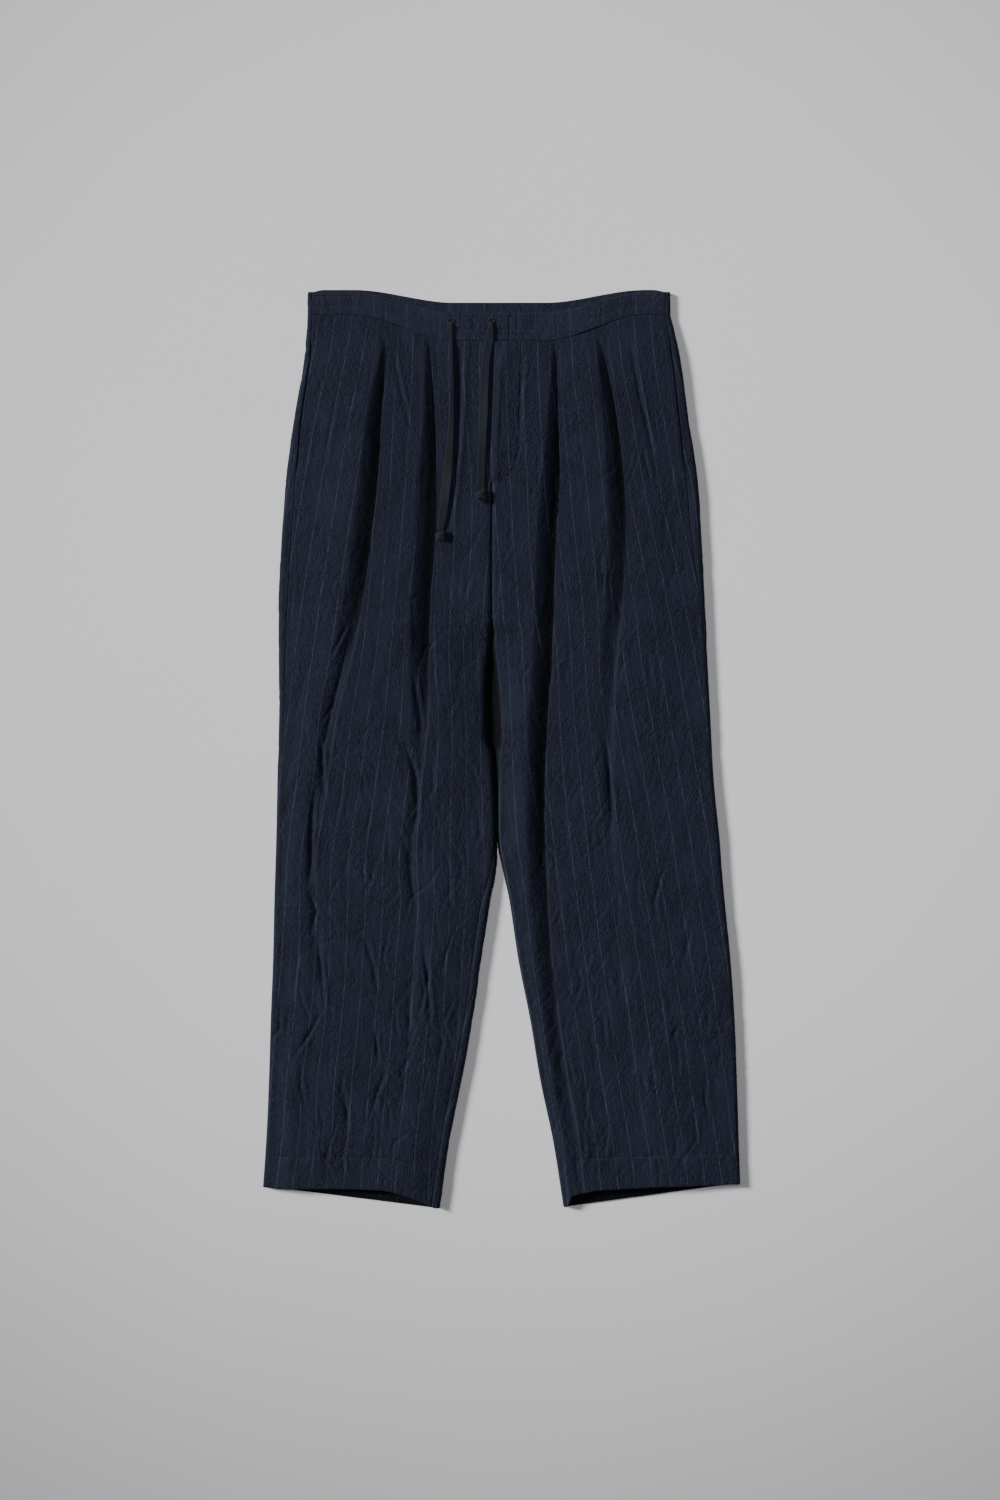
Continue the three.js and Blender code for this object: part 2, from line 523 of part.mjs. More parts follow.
// The lap over the front opening, made from the left front's points moved out
function fly() {
  const outerGrid = [];
  const innerGrid = [];
  for (let j = 0; j <= FLY.rows; j += 1) {
    const y = lerp(FLY.top, FLY.bottom, j / FLY.rows);
    const middle = sample(CENTRE_LINE, "x", y);
    const foot = clamp((y - FLY.bottom) / FLY.round, FLY.leastFoot, 1);
    const width = FLY.width * Math.sqrt(1 - (1 - foot) ** 2);
    const row = FLY.columns.map((t) => middle - FLY.lap + t * width);
    const floor = (x) => frontHeight(leftTube, Math.max(x, middle + SEAM_GAP), y);
    const above = (distance) => row.map((x) => new THREE.Vector3(x, y, floor(x) + distance));
    outerGrid.push(above(FLY.clear + CLOTH));
    innerGrid.push(above(FLY.clear));
  }
  return wallGeometry(outerGrid, innerGrid);
}

// Height of a tube's top at a place clear of its folds
function frontHeight(tube, x, y) {
  const below = BAND_SEAM_Y - y;
  const drop = below - SAG.frontSeam * (1 - smoothstep(below - SAG.frontSeam, 0, SAG_FADE));
  const section = tube.section(y, drop);
  return 2 * section.rise + tube.lift(acrossOf(section, x), x, y, drop, section).z;
}

// An eyelet's worked ring and the hole inside it, about an upright axis
function eyeletRing() {
  const { outer, hole, height, bevel, sides } = EYELET;
  const profile = [
    [hole, 0], [outer, 0], [outer, height - bevel], [outer - bevel, height], [hole, height], [hole, 0],
  ].map(([x, y]) => new THREE.Vector2(x, y));
  return new THREE.LatheGeometry(profile, sides).rotateX(Math.PI / 2);
}

// A flat tape along a route, its section a flattened ring
function tape(route) {
  const section = new THREE.Shape();
  section.absellipse(0, 0, TAPE.thickness / 2, TAPE.width / 2, 0, Math.PI * 2, false);
  const points = route.map((point) => new THREE.Vector3(...point));
  const path = new THREE.CatmullRomCurve3(points, false, "centripetal");
  const steps = Math.round(path.getLength() / TAPE.stepLength) * 2;
  return new THREE.ExtrudeGeometry(section, { extrudePath: path, steps, curveSegments: TAPE.sides / 2 });
}

function knot(size) {
  return new THREE.SphereGeometry(0.5, KNOT.around, KNOT.downwards).scale(size.x, size.y, size.z);
}

const wasm = await Module();
wasm.setup();

function solidOf(geometry) {
  const bare = geometry.clone();
  bare.deleteAttribute("normal");
  bare.deleteAttribute("uv");
  const merged = mergeVertices(bare, 1e-3);
  const mesh = new wasm.Mesh({
    numProp: 3,
    vertProperties: merged.attributes.position.array,
    triVerts: new Uint32Array(merged.index.array),
  });
  return new wasm.Manifold(mesh);
}

function geometryOf(solid) {
  const mesh = solid.getMesh();
  const geometry = new THREE.BufferGeometry();
  geometry.setAttribute("position", new THREE.BufferAttribute(mesh.vertProperties, 3));
  return geometry.setIndex(new THREE.BufferAttribute(mesh.triVerts, 1));
}

// A band stretch with a hole through it at each eyelet
function withEyeletHoles(geometry) {
  let solid = solidOf(geometry);
  for (const x of [EYELET.rightX, EYELET.leftX]) {
    const { hole, drillDepth, drillSides } = EYELET;
    const drill = new THREE.CylinderGeometry(hole, hole, drillDepth, drillSides).rotateX(Math.PI / 2);
    drill.translate(x, EYELET.y, 2 * WAIST_FOLD_RISE - BAND_CLOTH / 2);
    solid = solid.subtract(solidOf(drill));
  }
  return geometryOf(solid);
}

const WOOL = { color: 0x1f2330, roughness: 0.95, metalness: 0 };
const BAND_WOOL = { color: 0x252938, roughness: 0.95, metalness: 0 };
const TAPE_COTTON = { color: 0x242a33, roughness: 0.9, metalness: 0 };

const trousers = new THREE.Group();
function add(name, geometry, look, position = [0, 0, 0]) {
  const mesh = new THREE.Mesh(geometry, new THREE.MeshStandardMaterial(look));
  mesh.name = name;
  mesh.position.set(...position);
  trousers.add(mesh);
}

const waist = seams(waistTube, 0, 0);
const waistJoin = acrossOf(waistTube.section(), WAIST.join);
const joinHalfGap = SEAM_GAP / 2 / (WAIST.left - WAIST.right);
const rightBand = waistStations(waist.frontStart, waistJoin - joinHalfGap);
const leftBand = waistStations(waistJoin + joinHalfGap, waist.frontEnd);
const backBand = waistStations(waist.backStart, waist.backEnd);
const bandTop = 2 * WAIST_FOLD_RISE + WAIST_CROWN;

add("right_front", panel(rightTube, frontStations), WOOL);
add("left_front", panel(leftTube, frontStations), WOOL);
add("right_back", panel(rightTube, backStations), WOOL);
add("left_back", panel(leftTube, backStations), WOOL);
add("waistband_front_right", withEyeletHoles(band(rightBand)), BAND_WOOL);
add("waistband_front_left", band(leftBand), BAND_WOOL);
add("waistband_back", band(backBand), BAND_WOOL);
add("fly", fly(), WOOL);
add("right_pocket_facing", pocketFacing(rightTube), WOOL);
add("left_pocket_facing", pocketFacing(leftTube), WOOL);
add("eyelet_right", eyeletRing(), TAPE_COTTON, [EYELET.rightX, EYELET.y, bandTop + SEAM_GAP]);
add("eyelet_left", eyeletRing(), TAPE_COTTON, [EYELET.leftX, EYELET.y, bandTop + SEAM_GAP]);
add("drawcord_right", tape(RIGHT_ROUTE), TAPE_COTTON);
add("drawcord_left", tape(LEFT_ROUTE), TAPE_COTTON);
for (const [name, route, size] of [
  ["knot_right", RIGHT_ROUTE, KNOT.right],
  ["knot_left", LEFT_ROUTE, KNOT.left],
]) {
  const [x, y, z] = route[route.length - 1];
  add(name, knot(size), TAPE_COTTON, [x, y - SEAM_GAP - size.y / 2, z + size.z / 2 - TAPE.thickness / 2]);
}

export default trousers;
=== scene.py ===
import bmesh
import bpy
import numpy as np
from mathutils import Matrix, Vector
from mathutils.bvhtree import BVHTree


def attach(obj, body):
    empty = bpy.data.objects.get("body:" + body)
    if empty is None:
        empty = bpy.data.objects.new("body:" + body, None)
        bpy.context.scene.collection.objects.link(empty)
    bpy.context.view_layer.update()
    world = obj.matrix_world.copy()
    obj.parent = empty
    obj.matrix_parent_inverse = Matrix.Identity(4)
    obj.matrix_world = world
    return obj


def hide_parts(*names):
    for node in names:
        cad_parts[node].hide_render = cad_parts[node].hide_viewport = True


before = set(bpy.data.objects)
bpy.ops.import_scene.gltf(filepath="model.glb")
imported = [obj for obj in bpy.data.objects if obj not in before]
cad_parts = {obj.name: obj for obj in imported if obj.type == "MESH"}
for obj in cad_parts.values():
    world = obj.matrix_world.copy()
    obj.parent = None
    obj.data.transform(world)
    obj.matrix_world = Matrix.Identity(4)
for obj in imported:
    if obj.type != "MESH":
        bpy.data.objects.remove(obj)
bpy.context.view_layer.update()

# Lengths in the tables are millimetres. Pieces are made in metres, in the frame of the solids.
MM = 0.001
PITCH = 19.0

# Cloth and seams
CLOTH = 1.3
HEM_CLOTH = 2.0
BAND_CLOTH = 2.4
SEAM_GAP = 0.3
SEAM_HAIRLINE = 0.08
HEM_DEPTH = 33
BAND_SEAM_Y = 475.8
LEG_END_Y = -478
BAND_HEIGHT = 25.2
LAST_DROP = BAND_SEAM_Y - LEG_END_Y
HEM_DROP = LAST_DROP - HEM_DEPTH
HEM_REACH, HEM_SKEW = 120, 1.5

# Heights of the laid tubes
WAIST_FOLD_RISE = 4
LEG_FOLD_RISE = 5
WAIST_CROWN = 0.4
HIP_CROWN = 5.2
LEG_CROWN = 3.4
CROWN_EDGE = 0.2
CROWN_GROWS = 85
RISE_GROWS = 45
HIP_CROWN_TOP, HIP_CROWN_BOTTOM = 90, -60

# The sag of the waist between the hips
SAG_CENTRE = -2
SAG_FLAT_HALF = 50
SAG_FULL_HALF = 160
SAG_FRONT_TOP, SAG_FRONT_SEAM = 22, 28.6
SAG_BACK_TOP, SAG_BACK_SEAM = 14, 14
SAG_FADE = 130
BACK_TOP_RISE = 3.2
BACK_TOP_CORNER = 18

# Folds from the waist
FOLD_LEAN = 0.85
FOLD_REACH = 14
FOLD_STARTS = 12
SOFT_SIDE, SHARP_SIDE = 1.2, 0.68
SHARP_POWER = 1.15
CROTCH_TOP, CROTCH_BOTTOM = 142, 112

# Waistband, fly, pockets and eyelets
WAIST_RIGHT, WAIST_LEFT, WAIST_JOIN, WAIST_WRAP = -213, 185.5, 8.3, 5.5
FLY_TOP, FLY_BOTTOM, FLY_LAP, FLY_WIDTH, FLY_ROUND, FLY_CLEAR = 446.6, 291, 1.5, 29, 38, 0.5
POCKET_TOP, POCKET_BOTTOM, POCKET_GAP, POCKET_FADE = 452, 300, 1.6, 14
FACING_BACK, FACING_FRONT, FACING_ENDS, FACING_CLEAR = 3, 15, 8, 0.6
FACING_ROWS, FACING_COLUMNS = 81, 17
EYELET_Y, EYELET_RIGHT_X, EYELET_LEFT_X, EYELET_OUTER, EYELET_HOLE = 468.5, -55.5, -11.5, 4.2, 2.1
TAPE_WIDTH, TAPE_THICKNESS = 10, 1.8
BAND_TOP_Z = 2 * WAIST_FOLD_RISE + WAIST_CROWN

# How far relief dies out beside a seam, and how deep and wide the cloth turns down into it
SEAM_CALM = 3.5
FRONT_EDGE_ROLL, BAND_EDGE_ROLL, EDGE_REACH = 0.08, 0.06, 0.9

# Painted shade, drawn darker the deeper the cloth lies in a pleat or in the hollow between the legs: the
# depth that counts as one, and the hollow's share
FULL_SHADE_DEPTH, HOLLOW_SHADE_SHARE = 10, 2.0


class Table:
    """Rows from the waist down with named columns, read at any height on a smooth curve."""

    def __init__(self, names, rows):
        self.columns = dict(zip(names.split(), np.array(rows, float).T))

    def at(self, name, y):
        heights, values = self.columns["y"], self.columns[name]
        last = len(heights) - 1
        k = np.clip(np.searchsorted(-heights, -np.asarray(y, float), side="right") - 1, 0, last - 1)
        ahead = np.minimum(np.arange(last + 1) + 1, last)
        behind = np.maximum(np.arange(last + 1) - 1, 0)
        slope = (values[ahead] - values[behind]) / (heights[ahead] - heights[behind])
        span = heights[k + 1] - heights[k]
        t = np.clip((y - heights[k]) / span, 0, 1)
        rest = 1 - t
        ends = values[k] * rest * rest * (1 + 2 * t) + values[k + 1] * t * t * (3 - 2 * t)
        return ends + span * t * rest * (slope[k] * rest - slope[k + 1] * t)


# How far each leg's cloth fills the hairline between the two sides, down to where the legs part
THIGHS_MEET = Table("y reach", [
    (476, 0.13), (163, 0.13), (97, 0.29), (-101, 0.34), (-134, 0.2), (-165, 0), (-504, 0),
])
CENTRE_LINE = Table("y x", [(476, -5), (427, -6.5), (361, -9), (295, -10.5), (100, -10.5)])

LEG_NAMES = "y outer outer_fold inner_fold inner outer_wrap inner_wrap"
RIGHT_LEG = Table(LEG_NAMES, [
    (476, -213, -126, -83, -5, 5.5, 0),
    (427, -217, -130, -80, -6.5, 6, 0),
    (361, -228, -138, -78, -9, 7.5, 0),
    (295, -237, -143, -79, -10.5, 11, 0),
    (229, -241.5, -151, -81, -10.5, 11, 0),
    (163, -244, -160, -86, -10.5, 9.5, 0),
    (97, -244, -172, -88, -10.5, 7, 0),
    (31, -244, -188, -87, -8.5, 5, 0),
    (-35, -246, -198, -93, -6, 1, 0),
    (-101, -247.5, -207, -98, -5, 0, 2),
    (-134, -248.5, -208, -98, -6, 0, 6),
    (-167, -249.5, -205, -95, -12.5, 0, 9),
    (-233, -251, -201, -98, -22.5, 0, 9.5),
    (-299, -253.5, -205, -101, -31.5, 0, 9.5),
    (-365, -255.5, -213, -106, -44, 0, 9.5),
    (-431, -258.5, -214, -113, -57, 0, 9.5),
    (-504, -263.6, -216, -120, -68, 0, 9),
])
LEFT_LEG = Table(LEG_NAMES, [
    (476, 185.5, 103, 58, -5, 5.5, 0),
    (427, 196, 110, 58, -6.5, 8, 0),
    (361, 206, 120.5, 57.5, -9, 10, 0),
    (295, 215, 126.5, 56, -10.5, 12, 0),
    (229, 219.5, 129, 51.5, -10.5, 10.5, 0),
    (163, 223, 126, 49.5, -10.5, 5, 0),
    (97, 226, 120, 47, -10.5, 0, 0),
    (31, 229.5, 117, 42.5, -8.2, 0, 0),
    (-35, 233, 118, 39.5, -5.7, 0, 0),
    (-101, 239.5, 120, 40, -4.6, 0, 0),
    (-134, 242, 121, 42, 1.5, 0, 0),
    (-167, 245, 124, 44, 8.5, 0, 0),
    (-233, 251.5, 130, 49, 18.5, 0, 0),
    (-299, 256, 138, 57, 31.5, 0, 0),
    (-365, 258.5, 146, 67, 42.5, 0, 0),
    (-431, 260.5, 156, 80, 56.5, 0, 0),
    (-504, 263, 164, 92, 68, 0, 0),
])
FOLD_NAMES = "y outer_depth outer_width inner_depth inner_width"
RIGHT_FOLDS = Table(FOLD_NAMES, [
    (476, 0, 6, 0, 6),
    (450, 0.3, 6, 0.3, 6),
    (440, 3.6, 3.4, 3, 2.6),
    (420, 6.5, 5, 5.5, 3.8),
    (383, 9, 8, 8, 6),
    (335, 10, 10.5, 9.8, 9),
    (273, 10.2, 12, 10.3, 13),
    (207, 9.2, 12, 10.3, 12.5),
    (119, 6, 13, 10, 12.5),
    (75, 3.4, 13, 7.2, 12),
    (-12, 2.2, 12, 2.6, 10),
    (-101, 1.8, 10, 1.6, 10),
    (-233, 1.4, 10, 1, 10),
    (-340, 0.8, 11, 0.9, 11),
    (-431, 0.3, 13, 0.3, 13),
    (-504, 0, 13, 0, 13),
])
LEFT_FOLDS = Table(FOLD_NAMES, [
    (476, 0, 6, 0, 6),
    (450, 0.3, 6, 0.2, 6),
    (440, 3.6, 3.4, 2.2, 2.6),
    (420, 6.5, 5, 4.6, 3.6),
    (383, 9, 8, 7.6, 5.6),
    (335, 9.6, 10, 9.8, 8.6),
    (285, 9.2, 11, 10.2, 11.5),
    (207, 7.4, 11, 10.3, 12),
    (163, 6.4, 11, 10.4, 12),
    (119, 4.6, 11, 10.4, 12),
    (31, 2.4, 11, 10.4, 12),
    (-57, 2, 10, 10, 11.5),
    (-134, 1.2, 10, 8.4, 10.5),
    (-233, 0.8, 10, 6.6, 9.5),
    (-369, 0.6, 12, 4, 10),
    (-431, 0.3, 14, 1.6, 9),
    (-504, 0, 14, 0, 9),
])
# The hollow between the two legs' fronts, along the centre line
CENTRE_HOLLOW = Table("y depth width", [
    (476, 0.7, 1.6),
    (300, 0.9, 2.0),
    (275, 1.8, 2.6),
    (200, 2.2, 2.8),
    (150, 2.4, 3),
    (118, 4.5, 4.5),
    (80, 8.5, 8),
    (45, 9.5, 9.5),
    (8, 9, 9.5),
    (-6, 5.5, 6),
    (-25, 5, 5.5),
    (-60, 3.8, 4.2),
    (-120, 3.5, 4),
    (-170, 0, 4),
    (-504, 0, 4),
])

# Chalk stripes: how many pitches each knot of a front's section lies from one chosen stripe
STRIPE_NAMES = "y k0 k1 k2 k3 k4 k5"
RIGHT_STRIPES = Table(STRIPE_NAMES, [
    (476, 8.5, 4.7, 0.9, 0, -4.3, -8),
    (405, 8.15, 4.4, 1.2, -0.3, -4.6, -8),
    (273, 7.75, 3.85, 1.5, -0.8, -4.25, -7.15),
    (119, 6.75, 3.8, 2.2, -1.25, -4, -7.6),
    (-57, 5.8, 4.3, 2.65, -1.8, -3.5, -7.65),
    (-233, 5.25, 3.6, 1.9, -2.2, -3.65, -6.9),
    (-409, 4.75, 3.4, 1.8, -2.3, -3.7, -6),
    (-504, 4.45, 2.9, 1.4, -2.2, -3.6, -5.4),
])
LEFT_STRIPES = Table(STRIPE_NAMES, [
    (476, 13, 9.5, 5.7, 4.75, 2.25, -0.55),
    (405, 13.35, 9.6, 6.1, 4.6, 2.2, -0.7),
    (273, 13.05, 9.05, 6.1, 3.55, 1.65, -1.15),
    (119, 11.6, 7.25, 5.1, 2.15, 0.75, -1.8),
    (-57, 10.55, 5.55, 3.85, 1.05, -0.35, -1.9),
    (-233, 10, 4.7, 3.3, 0.5, -0.95, -1.8),
    (-409, 9.2, 4.55, 3.15, 0.45, -1.1, -1.6),
    (-504, 8.6, 4.45, 3, 0.73, -0.7, -0.97),
])

# Creases of the fronts, read as places in the photograph's frame of 1000 by 1500 pixels.
# Each is a depth and a width in millimetres, then the pixels that it runs through from the top down.
PHOTO_SCALE = 1.1
PHOTO_CENTRE = (501.5, 748.5)
CREASES = [
    (1.6, 6, (350, 640), (340, 680), (330, 720), (322, 760)),
    (2.2, 6, (322, 740), (323, 770), (325, 797)),
    (2.0, 6, (316, 788), (313, 818), (312, 861), (309, 889)),
    (1.8, 5, (309, 886), (317, 910), (312, 934)),
    (2.2, 5, (318, 943), (322, 965), (324, 993), (325, 1009)),
    (1.6, 5, (325, 1006), (309, 1035), (294, 1057)),
    (1.3, 4, (300, 953), (296, 974), (294, 993)),
    (1.4, 5, (288, 1009), (288, 1034)),
    (2.4, 7, (405, 740), (417, 778), (417, 813), (412, 837)),
    (1.8, 6, (412, 834), (412, 884), (417, 908)),
    (1.3, 5, (433, 762), (433, 797)),
    (1.9, 6, (426, 944), (429, 996), (430, 1021)),
    (1.8, 6, (365, 936), (374, 965), (379, 991)),
    (1.3, 4, (353, 936), (367, 927)),
    (1.3, 4, (320, 943), (338, 936)),
    (1.2, 5, (410, 993), (410, 1034)),
    (2.2, 5, (376, 1030), (379, 1060)),
    (1.9, 6, (386, 1070), (377, 1094), (376, 1107)),
    (1.2, 4, (348, 624), (331, 660)),
    (1.2, 4, (334, 705), (322, 723)),
    (1.2, 5, (398, 712), (403, 731)),
    (1.5, 6, (414, 674), (421, 723), (422, 742)),
    (1.4, 5, (394, 352), (401, 390), (412, 434)),
    (1.1, 5, (338, 398), (330, 436), (326, 470)),
    (1.0, 5, (312, 420), (306, 470)),
    (1.6, 5, (601, 553), (602, 575), (601, 598)),
    (1.4, 4, (617, 605), (624, 627)),
    (1.2, 4, (631, 639), (638, 632)),
    (1.2, 4, (646, 570), (653, 561)),
    (1.2, 4, (679, 577), (685, 565)),
    (2.0, 6, (607, 740), (609, 777), (612, 818), (609, 837)),
    (1.3, 5, (594, 768), (601, 751)),
    (1.5, 5, (663, 867), (654, 900), (657, 919)),
    (1.3, 5, (555, 926), (560, 913)),
    (1.4, 5, (670, 1039), (678, 1023)),
    (1.5, 6, (639, 1067), (646, 1091)),
    (1.3, 5, (583, 1130), (585, 1158)),
    (1.3, 5, (607, 1127), (604, 1158)),
    (1.2, 4, (586, 1146), (604, 1142)),
    (1.5, 6, (630, 345), (640, 400), (655, 460)),
    (1.1, 5, (642, 450), (650, 480)),
    (1.1, 5, (524, 350), (521, 400), (520, 446)),
    (1.1, 5, (648, 655), (652, 690)),
    (1.2, 5, (300, 1066), (306, 1110)),
    (1.2, 5, (345, 1085), (349, 1135)),
    (1.1, 5, (690, 930), (684, 960)),
    (1.1, 5, (602, 1010), (606, 1050)),
    (1.2, 5, (566, 1050), (574, 1085)),
    (1.1, 5, (703, 1085), (708, 1120)),
    (1.0, 5, (450, 870), (452, 910)),
    (1.1, 5, (444, 1030), (440, 1065)),
    (2.8, 8, (460, 345), (460, 400), (457, 450), (452, 500), (448, 532)),
    (2.8, 8, (499, 345), (494, 375), (493, 400), (491, 450), (489, 500)),
]

# How strongly each leg's cloth is crumpled, from the waist down
RUMPLE_NAMES = "y strength"
RIGHT_RUMPLE = Table(RUMPLE_NAMES, [(476, 0.4), (300, 0.55), (140, 0.8), (0, 1.1), (-440, 1.15), (-504, 0.5)])
LEFT_RUMPLE = Table(RUMPLE_NAMES, [(476, 0.4), (300, 0.6), (140, 0.75), (0, 0.85), (-440, 1.0), (-504, 0.5)])

# Drawcord tapes, as routed in the solids, from the eyelets to the knots
RIGHT_ROUTE = [
    (-55.5, 468.5, 11.1), (-55.4, 463, 11.1), (-55.3, 455, 10.2), (-55.1, 446, 10.3), (-54.9, 430, 12.1),
    (-54.6, 412, 14.8), (-54.4, 394, 16.3), (-54.4, 376, 16.6), (-55, 358, 16.6), (-56, 340, 16.6),
    (-57.2, 322, 16.6), (-58.6, 304, 16.6), (-60.2, 288, 16.6), (-62, 272, 16.6), (-63.8, 258, 16.6),
    (-65.6, 246, 16.6), (-66.6, 238.5, 16.6),
]
LEFT_ROUTE = [
    (-11.5, 468.5, 11.1), (-11.8, 463, 11.1), (-12.4, 455, 10.2), (-13.6, 446, 10.3), (-16.6, 430, 12.1),
    (-18.2, 412, 14.8), (-18.9, 396, 16.3), (-19.4, 380, 16.6), (-19.9, 364, 16.6), (-20.6, 348, 16.6),
    (-21.4, 332, 16.6), (-21.8, 318, 16.6), (-22.2, 304, 16.6), (-22.4, 292, 16.6), (-22.4, 283.5, 16.6),
]


def lerp(a, b, t):
    return a + (b - a) * t


def smoothstep(x, low, high):
    t = np.clip((x - low) / (high - low), 0, 1)
    return t * t * (3 - 2 * t)


def bell(away, half):
    """1 at no distance, falling smoothly to nothing over a few half widths."""
    return np.exp(-(away / half) ** 2)


# Camera, straight above, framing 1.1 by 1.65 metres
FRAME_HEIGHT = 1.65
CAMERA_HEIGHT = 3.2
SENSOR = 36
FRAME_CENTRE = (-1.65, -1.65)


def make_camera():
    data = bpy.data.cameras.new("camera")
    data.sensor_fit = "VERTICAL"
    data.sensor_height = SENSOR
    data.lens = SENSOR * CAMERA_HEIGHT / FRAME_HEIGHT
    camera = bpy.data.objects.new("camera", data)
    camera.location = (FRAME_CENTRE[0] * MM, FRAME_CENTRE[1] * MM, CAMERA_HEIGHT)
    bpy.context.scene.collection.objects.link(camera)
    bpy.context.scene.camera = camera


# Meshes from grids of points


def piece_from(name, points, faces, cloth_at, material, rim_faces=0, painted_shade=None):
    """A piece on the root body from points in millimetres, with cloth coordinates at each point.

    The last rim_faces faces are a cut edge and shade flat. The last argument says, from 0 at the top to 1 at
    a pleat's bottom and more in the hollow between the legs, how far down each point lies, and so how much
    shade is painted into its colour."""
    mesh = bpy.data.meshes.new(name)
    mesh.from_pydata((np.asarray(points) * MM).tolist(), [], [list(face) for face in faces])
    work = bmesh.new()
    work.from_mesh(mesh)
    bmesh.ops.recalc_face_normals(work, faces=work.faces)
    work.to_mesh(mesh)
    work.free()
    corners = np.empty(len(mesh.loops), np.int64)
    mesh.loops.foreach_get("vertex_index", corners)
    layer = mesh.uv_layers.new(name="cloth")
    layer.data.foreach_set("uv", np.asarray(cloth_at, np.float32)[corners].ravel())
    if painted_shade is not None:
        mesh.attributes.new("painted_shade", "FLOAT", "POINT").data.foreach_set("value", np.asarray(painted_shade, np.float32))
    mesh.polygons.foreach_set("use_smooth", np.arange(len(faces)) < len(faces) - rim_faces)
    mesh.materials.append(material)
    piece = bpy.data.objects.new(name, mesh)
    bpy.context.scene.collection.objects.link(piece)
    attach(piece, "root")
    return piece


def grid_normals(grid):
    across = np.gradient(grid, axis=1)
    along = np.gradient(grid, axis=0)
    normal = np.cross(across, along)
    return normal / np.maximum(np.linalg.norm(normal, axis=-1, keepdims=True), 1e-9)


def shell(name, grid, thickness, cloth_at, material, painted_shade=None):
    """A closed thin shell: a fine outer grid, an inner one of every second row and column, and a rim.

    The outward side of the grid is the one that grid_normals points to. Painted shade is given for the outer
    grid of a panel, and its inside is painted all as dark as the bottom of a pleat, for the shade under the
    cloth above it."""
    rows, cols = grid.shape[:2]
    by_row = np.reshape(thickness, (-1, 1)) if np.ndim(thickness) == 1 else thickness
    depth = np.broadcast_to(by_row, (rows, cols))
    inner = (grid - grid_normals(grid) * depth[..., None])[::2, ::2]
    inner_rows, inner_cols = inner.shape[:2]
    points = np.concatenate([grid.reshape(-1, 3), inner.reshape(-1, 3)])
    places = np.concatenate([cloth_at.reshape(-1, 2), cloth_at[::2, ::2].reshape(-1, 2)])
    outer_at = np.arange(rows * cols).reshape(rows, cols)
    inner_at = rows * cols + np.arange(inner_rows * inner_cols).reshape(inner_rows, inner_cols)

    def quads(at):
        return np.stack([at[:-1, :-1], at[:-1, 1:], at[1:, 1:], at[1:, :-1]], axis=-1).reshape(-1, 4)

    faces = quads(outer_at).tolist() + quads(inner_at)[:, ::-1].tolist()
    smooth_faces = len(faces)
    rims = [(outer_at[0], inner_at[0]), (outer_at[-1], inner_at[-1])]
    rims += [(outer_at[:, 0], inner_at[:, 0]), (outer_at[:, -1], inner_at[:, -1])]
    for fine, coarse in rims:
        for k in range(len(coarse) - 1):
            a, b, c = (int(v) for v in fine[2 * k:2 * k + 3])
            p, q = int(coarse[k]), int(coarse[k + 1])
            faces += [(a, b, p), (b, q, p), (b, c, q)]
    # The inside of a panel, shaded by the cloth above it, gets painted shade all over
    if painted_shade is not None:
        painted_shade = np.concatenate([painted_shade.ravel(), np.ones(inner_rows * inner_cols)])
    return piece_from(name, points, faces, places, material, len(faces) - smooth_faces, painted_shade)


def odd(count):
    """A count of points that leaves every second one on both ends."""
    count = int(count)
    return count + 1 - count % 2


# The laid tubes


def sag_at(x):
    return smoothstep(SAG_FULL_HALF - np.abs(x - SAG_CENTRE), 0, SAG_FULL_HALF - SAG_FLAT_HALF)


def top_x(knots, across):
    scaled = np.clip(across, 0, 1) * 5
    k = np.minimum(scaled.astype(int), 4)
    low = np.take_along_axis(knots, k[None], 0)[0]
    high = np.take_along_axis(knots, (k + 1)[None], 0)[0]
    return lerp(low, high, scaled - k)


def across_of(knots, x):
    """The place across a section's top at one x. The knots run one way."""
    order = np.sign(knots[5] - knots[0])
    k = np.zeros(np.shape(x), int)
    for i in range(1, 5):
        k += ((x - knots[i]) * order > 0).astype(int)
    low = np.take_along_axis(knots, k[None], 0)[0]
    high = np.take_along_axis(knots, (k + 1)[None], 0)[0]
    return (k + (x - low) / (high - low)) / 5


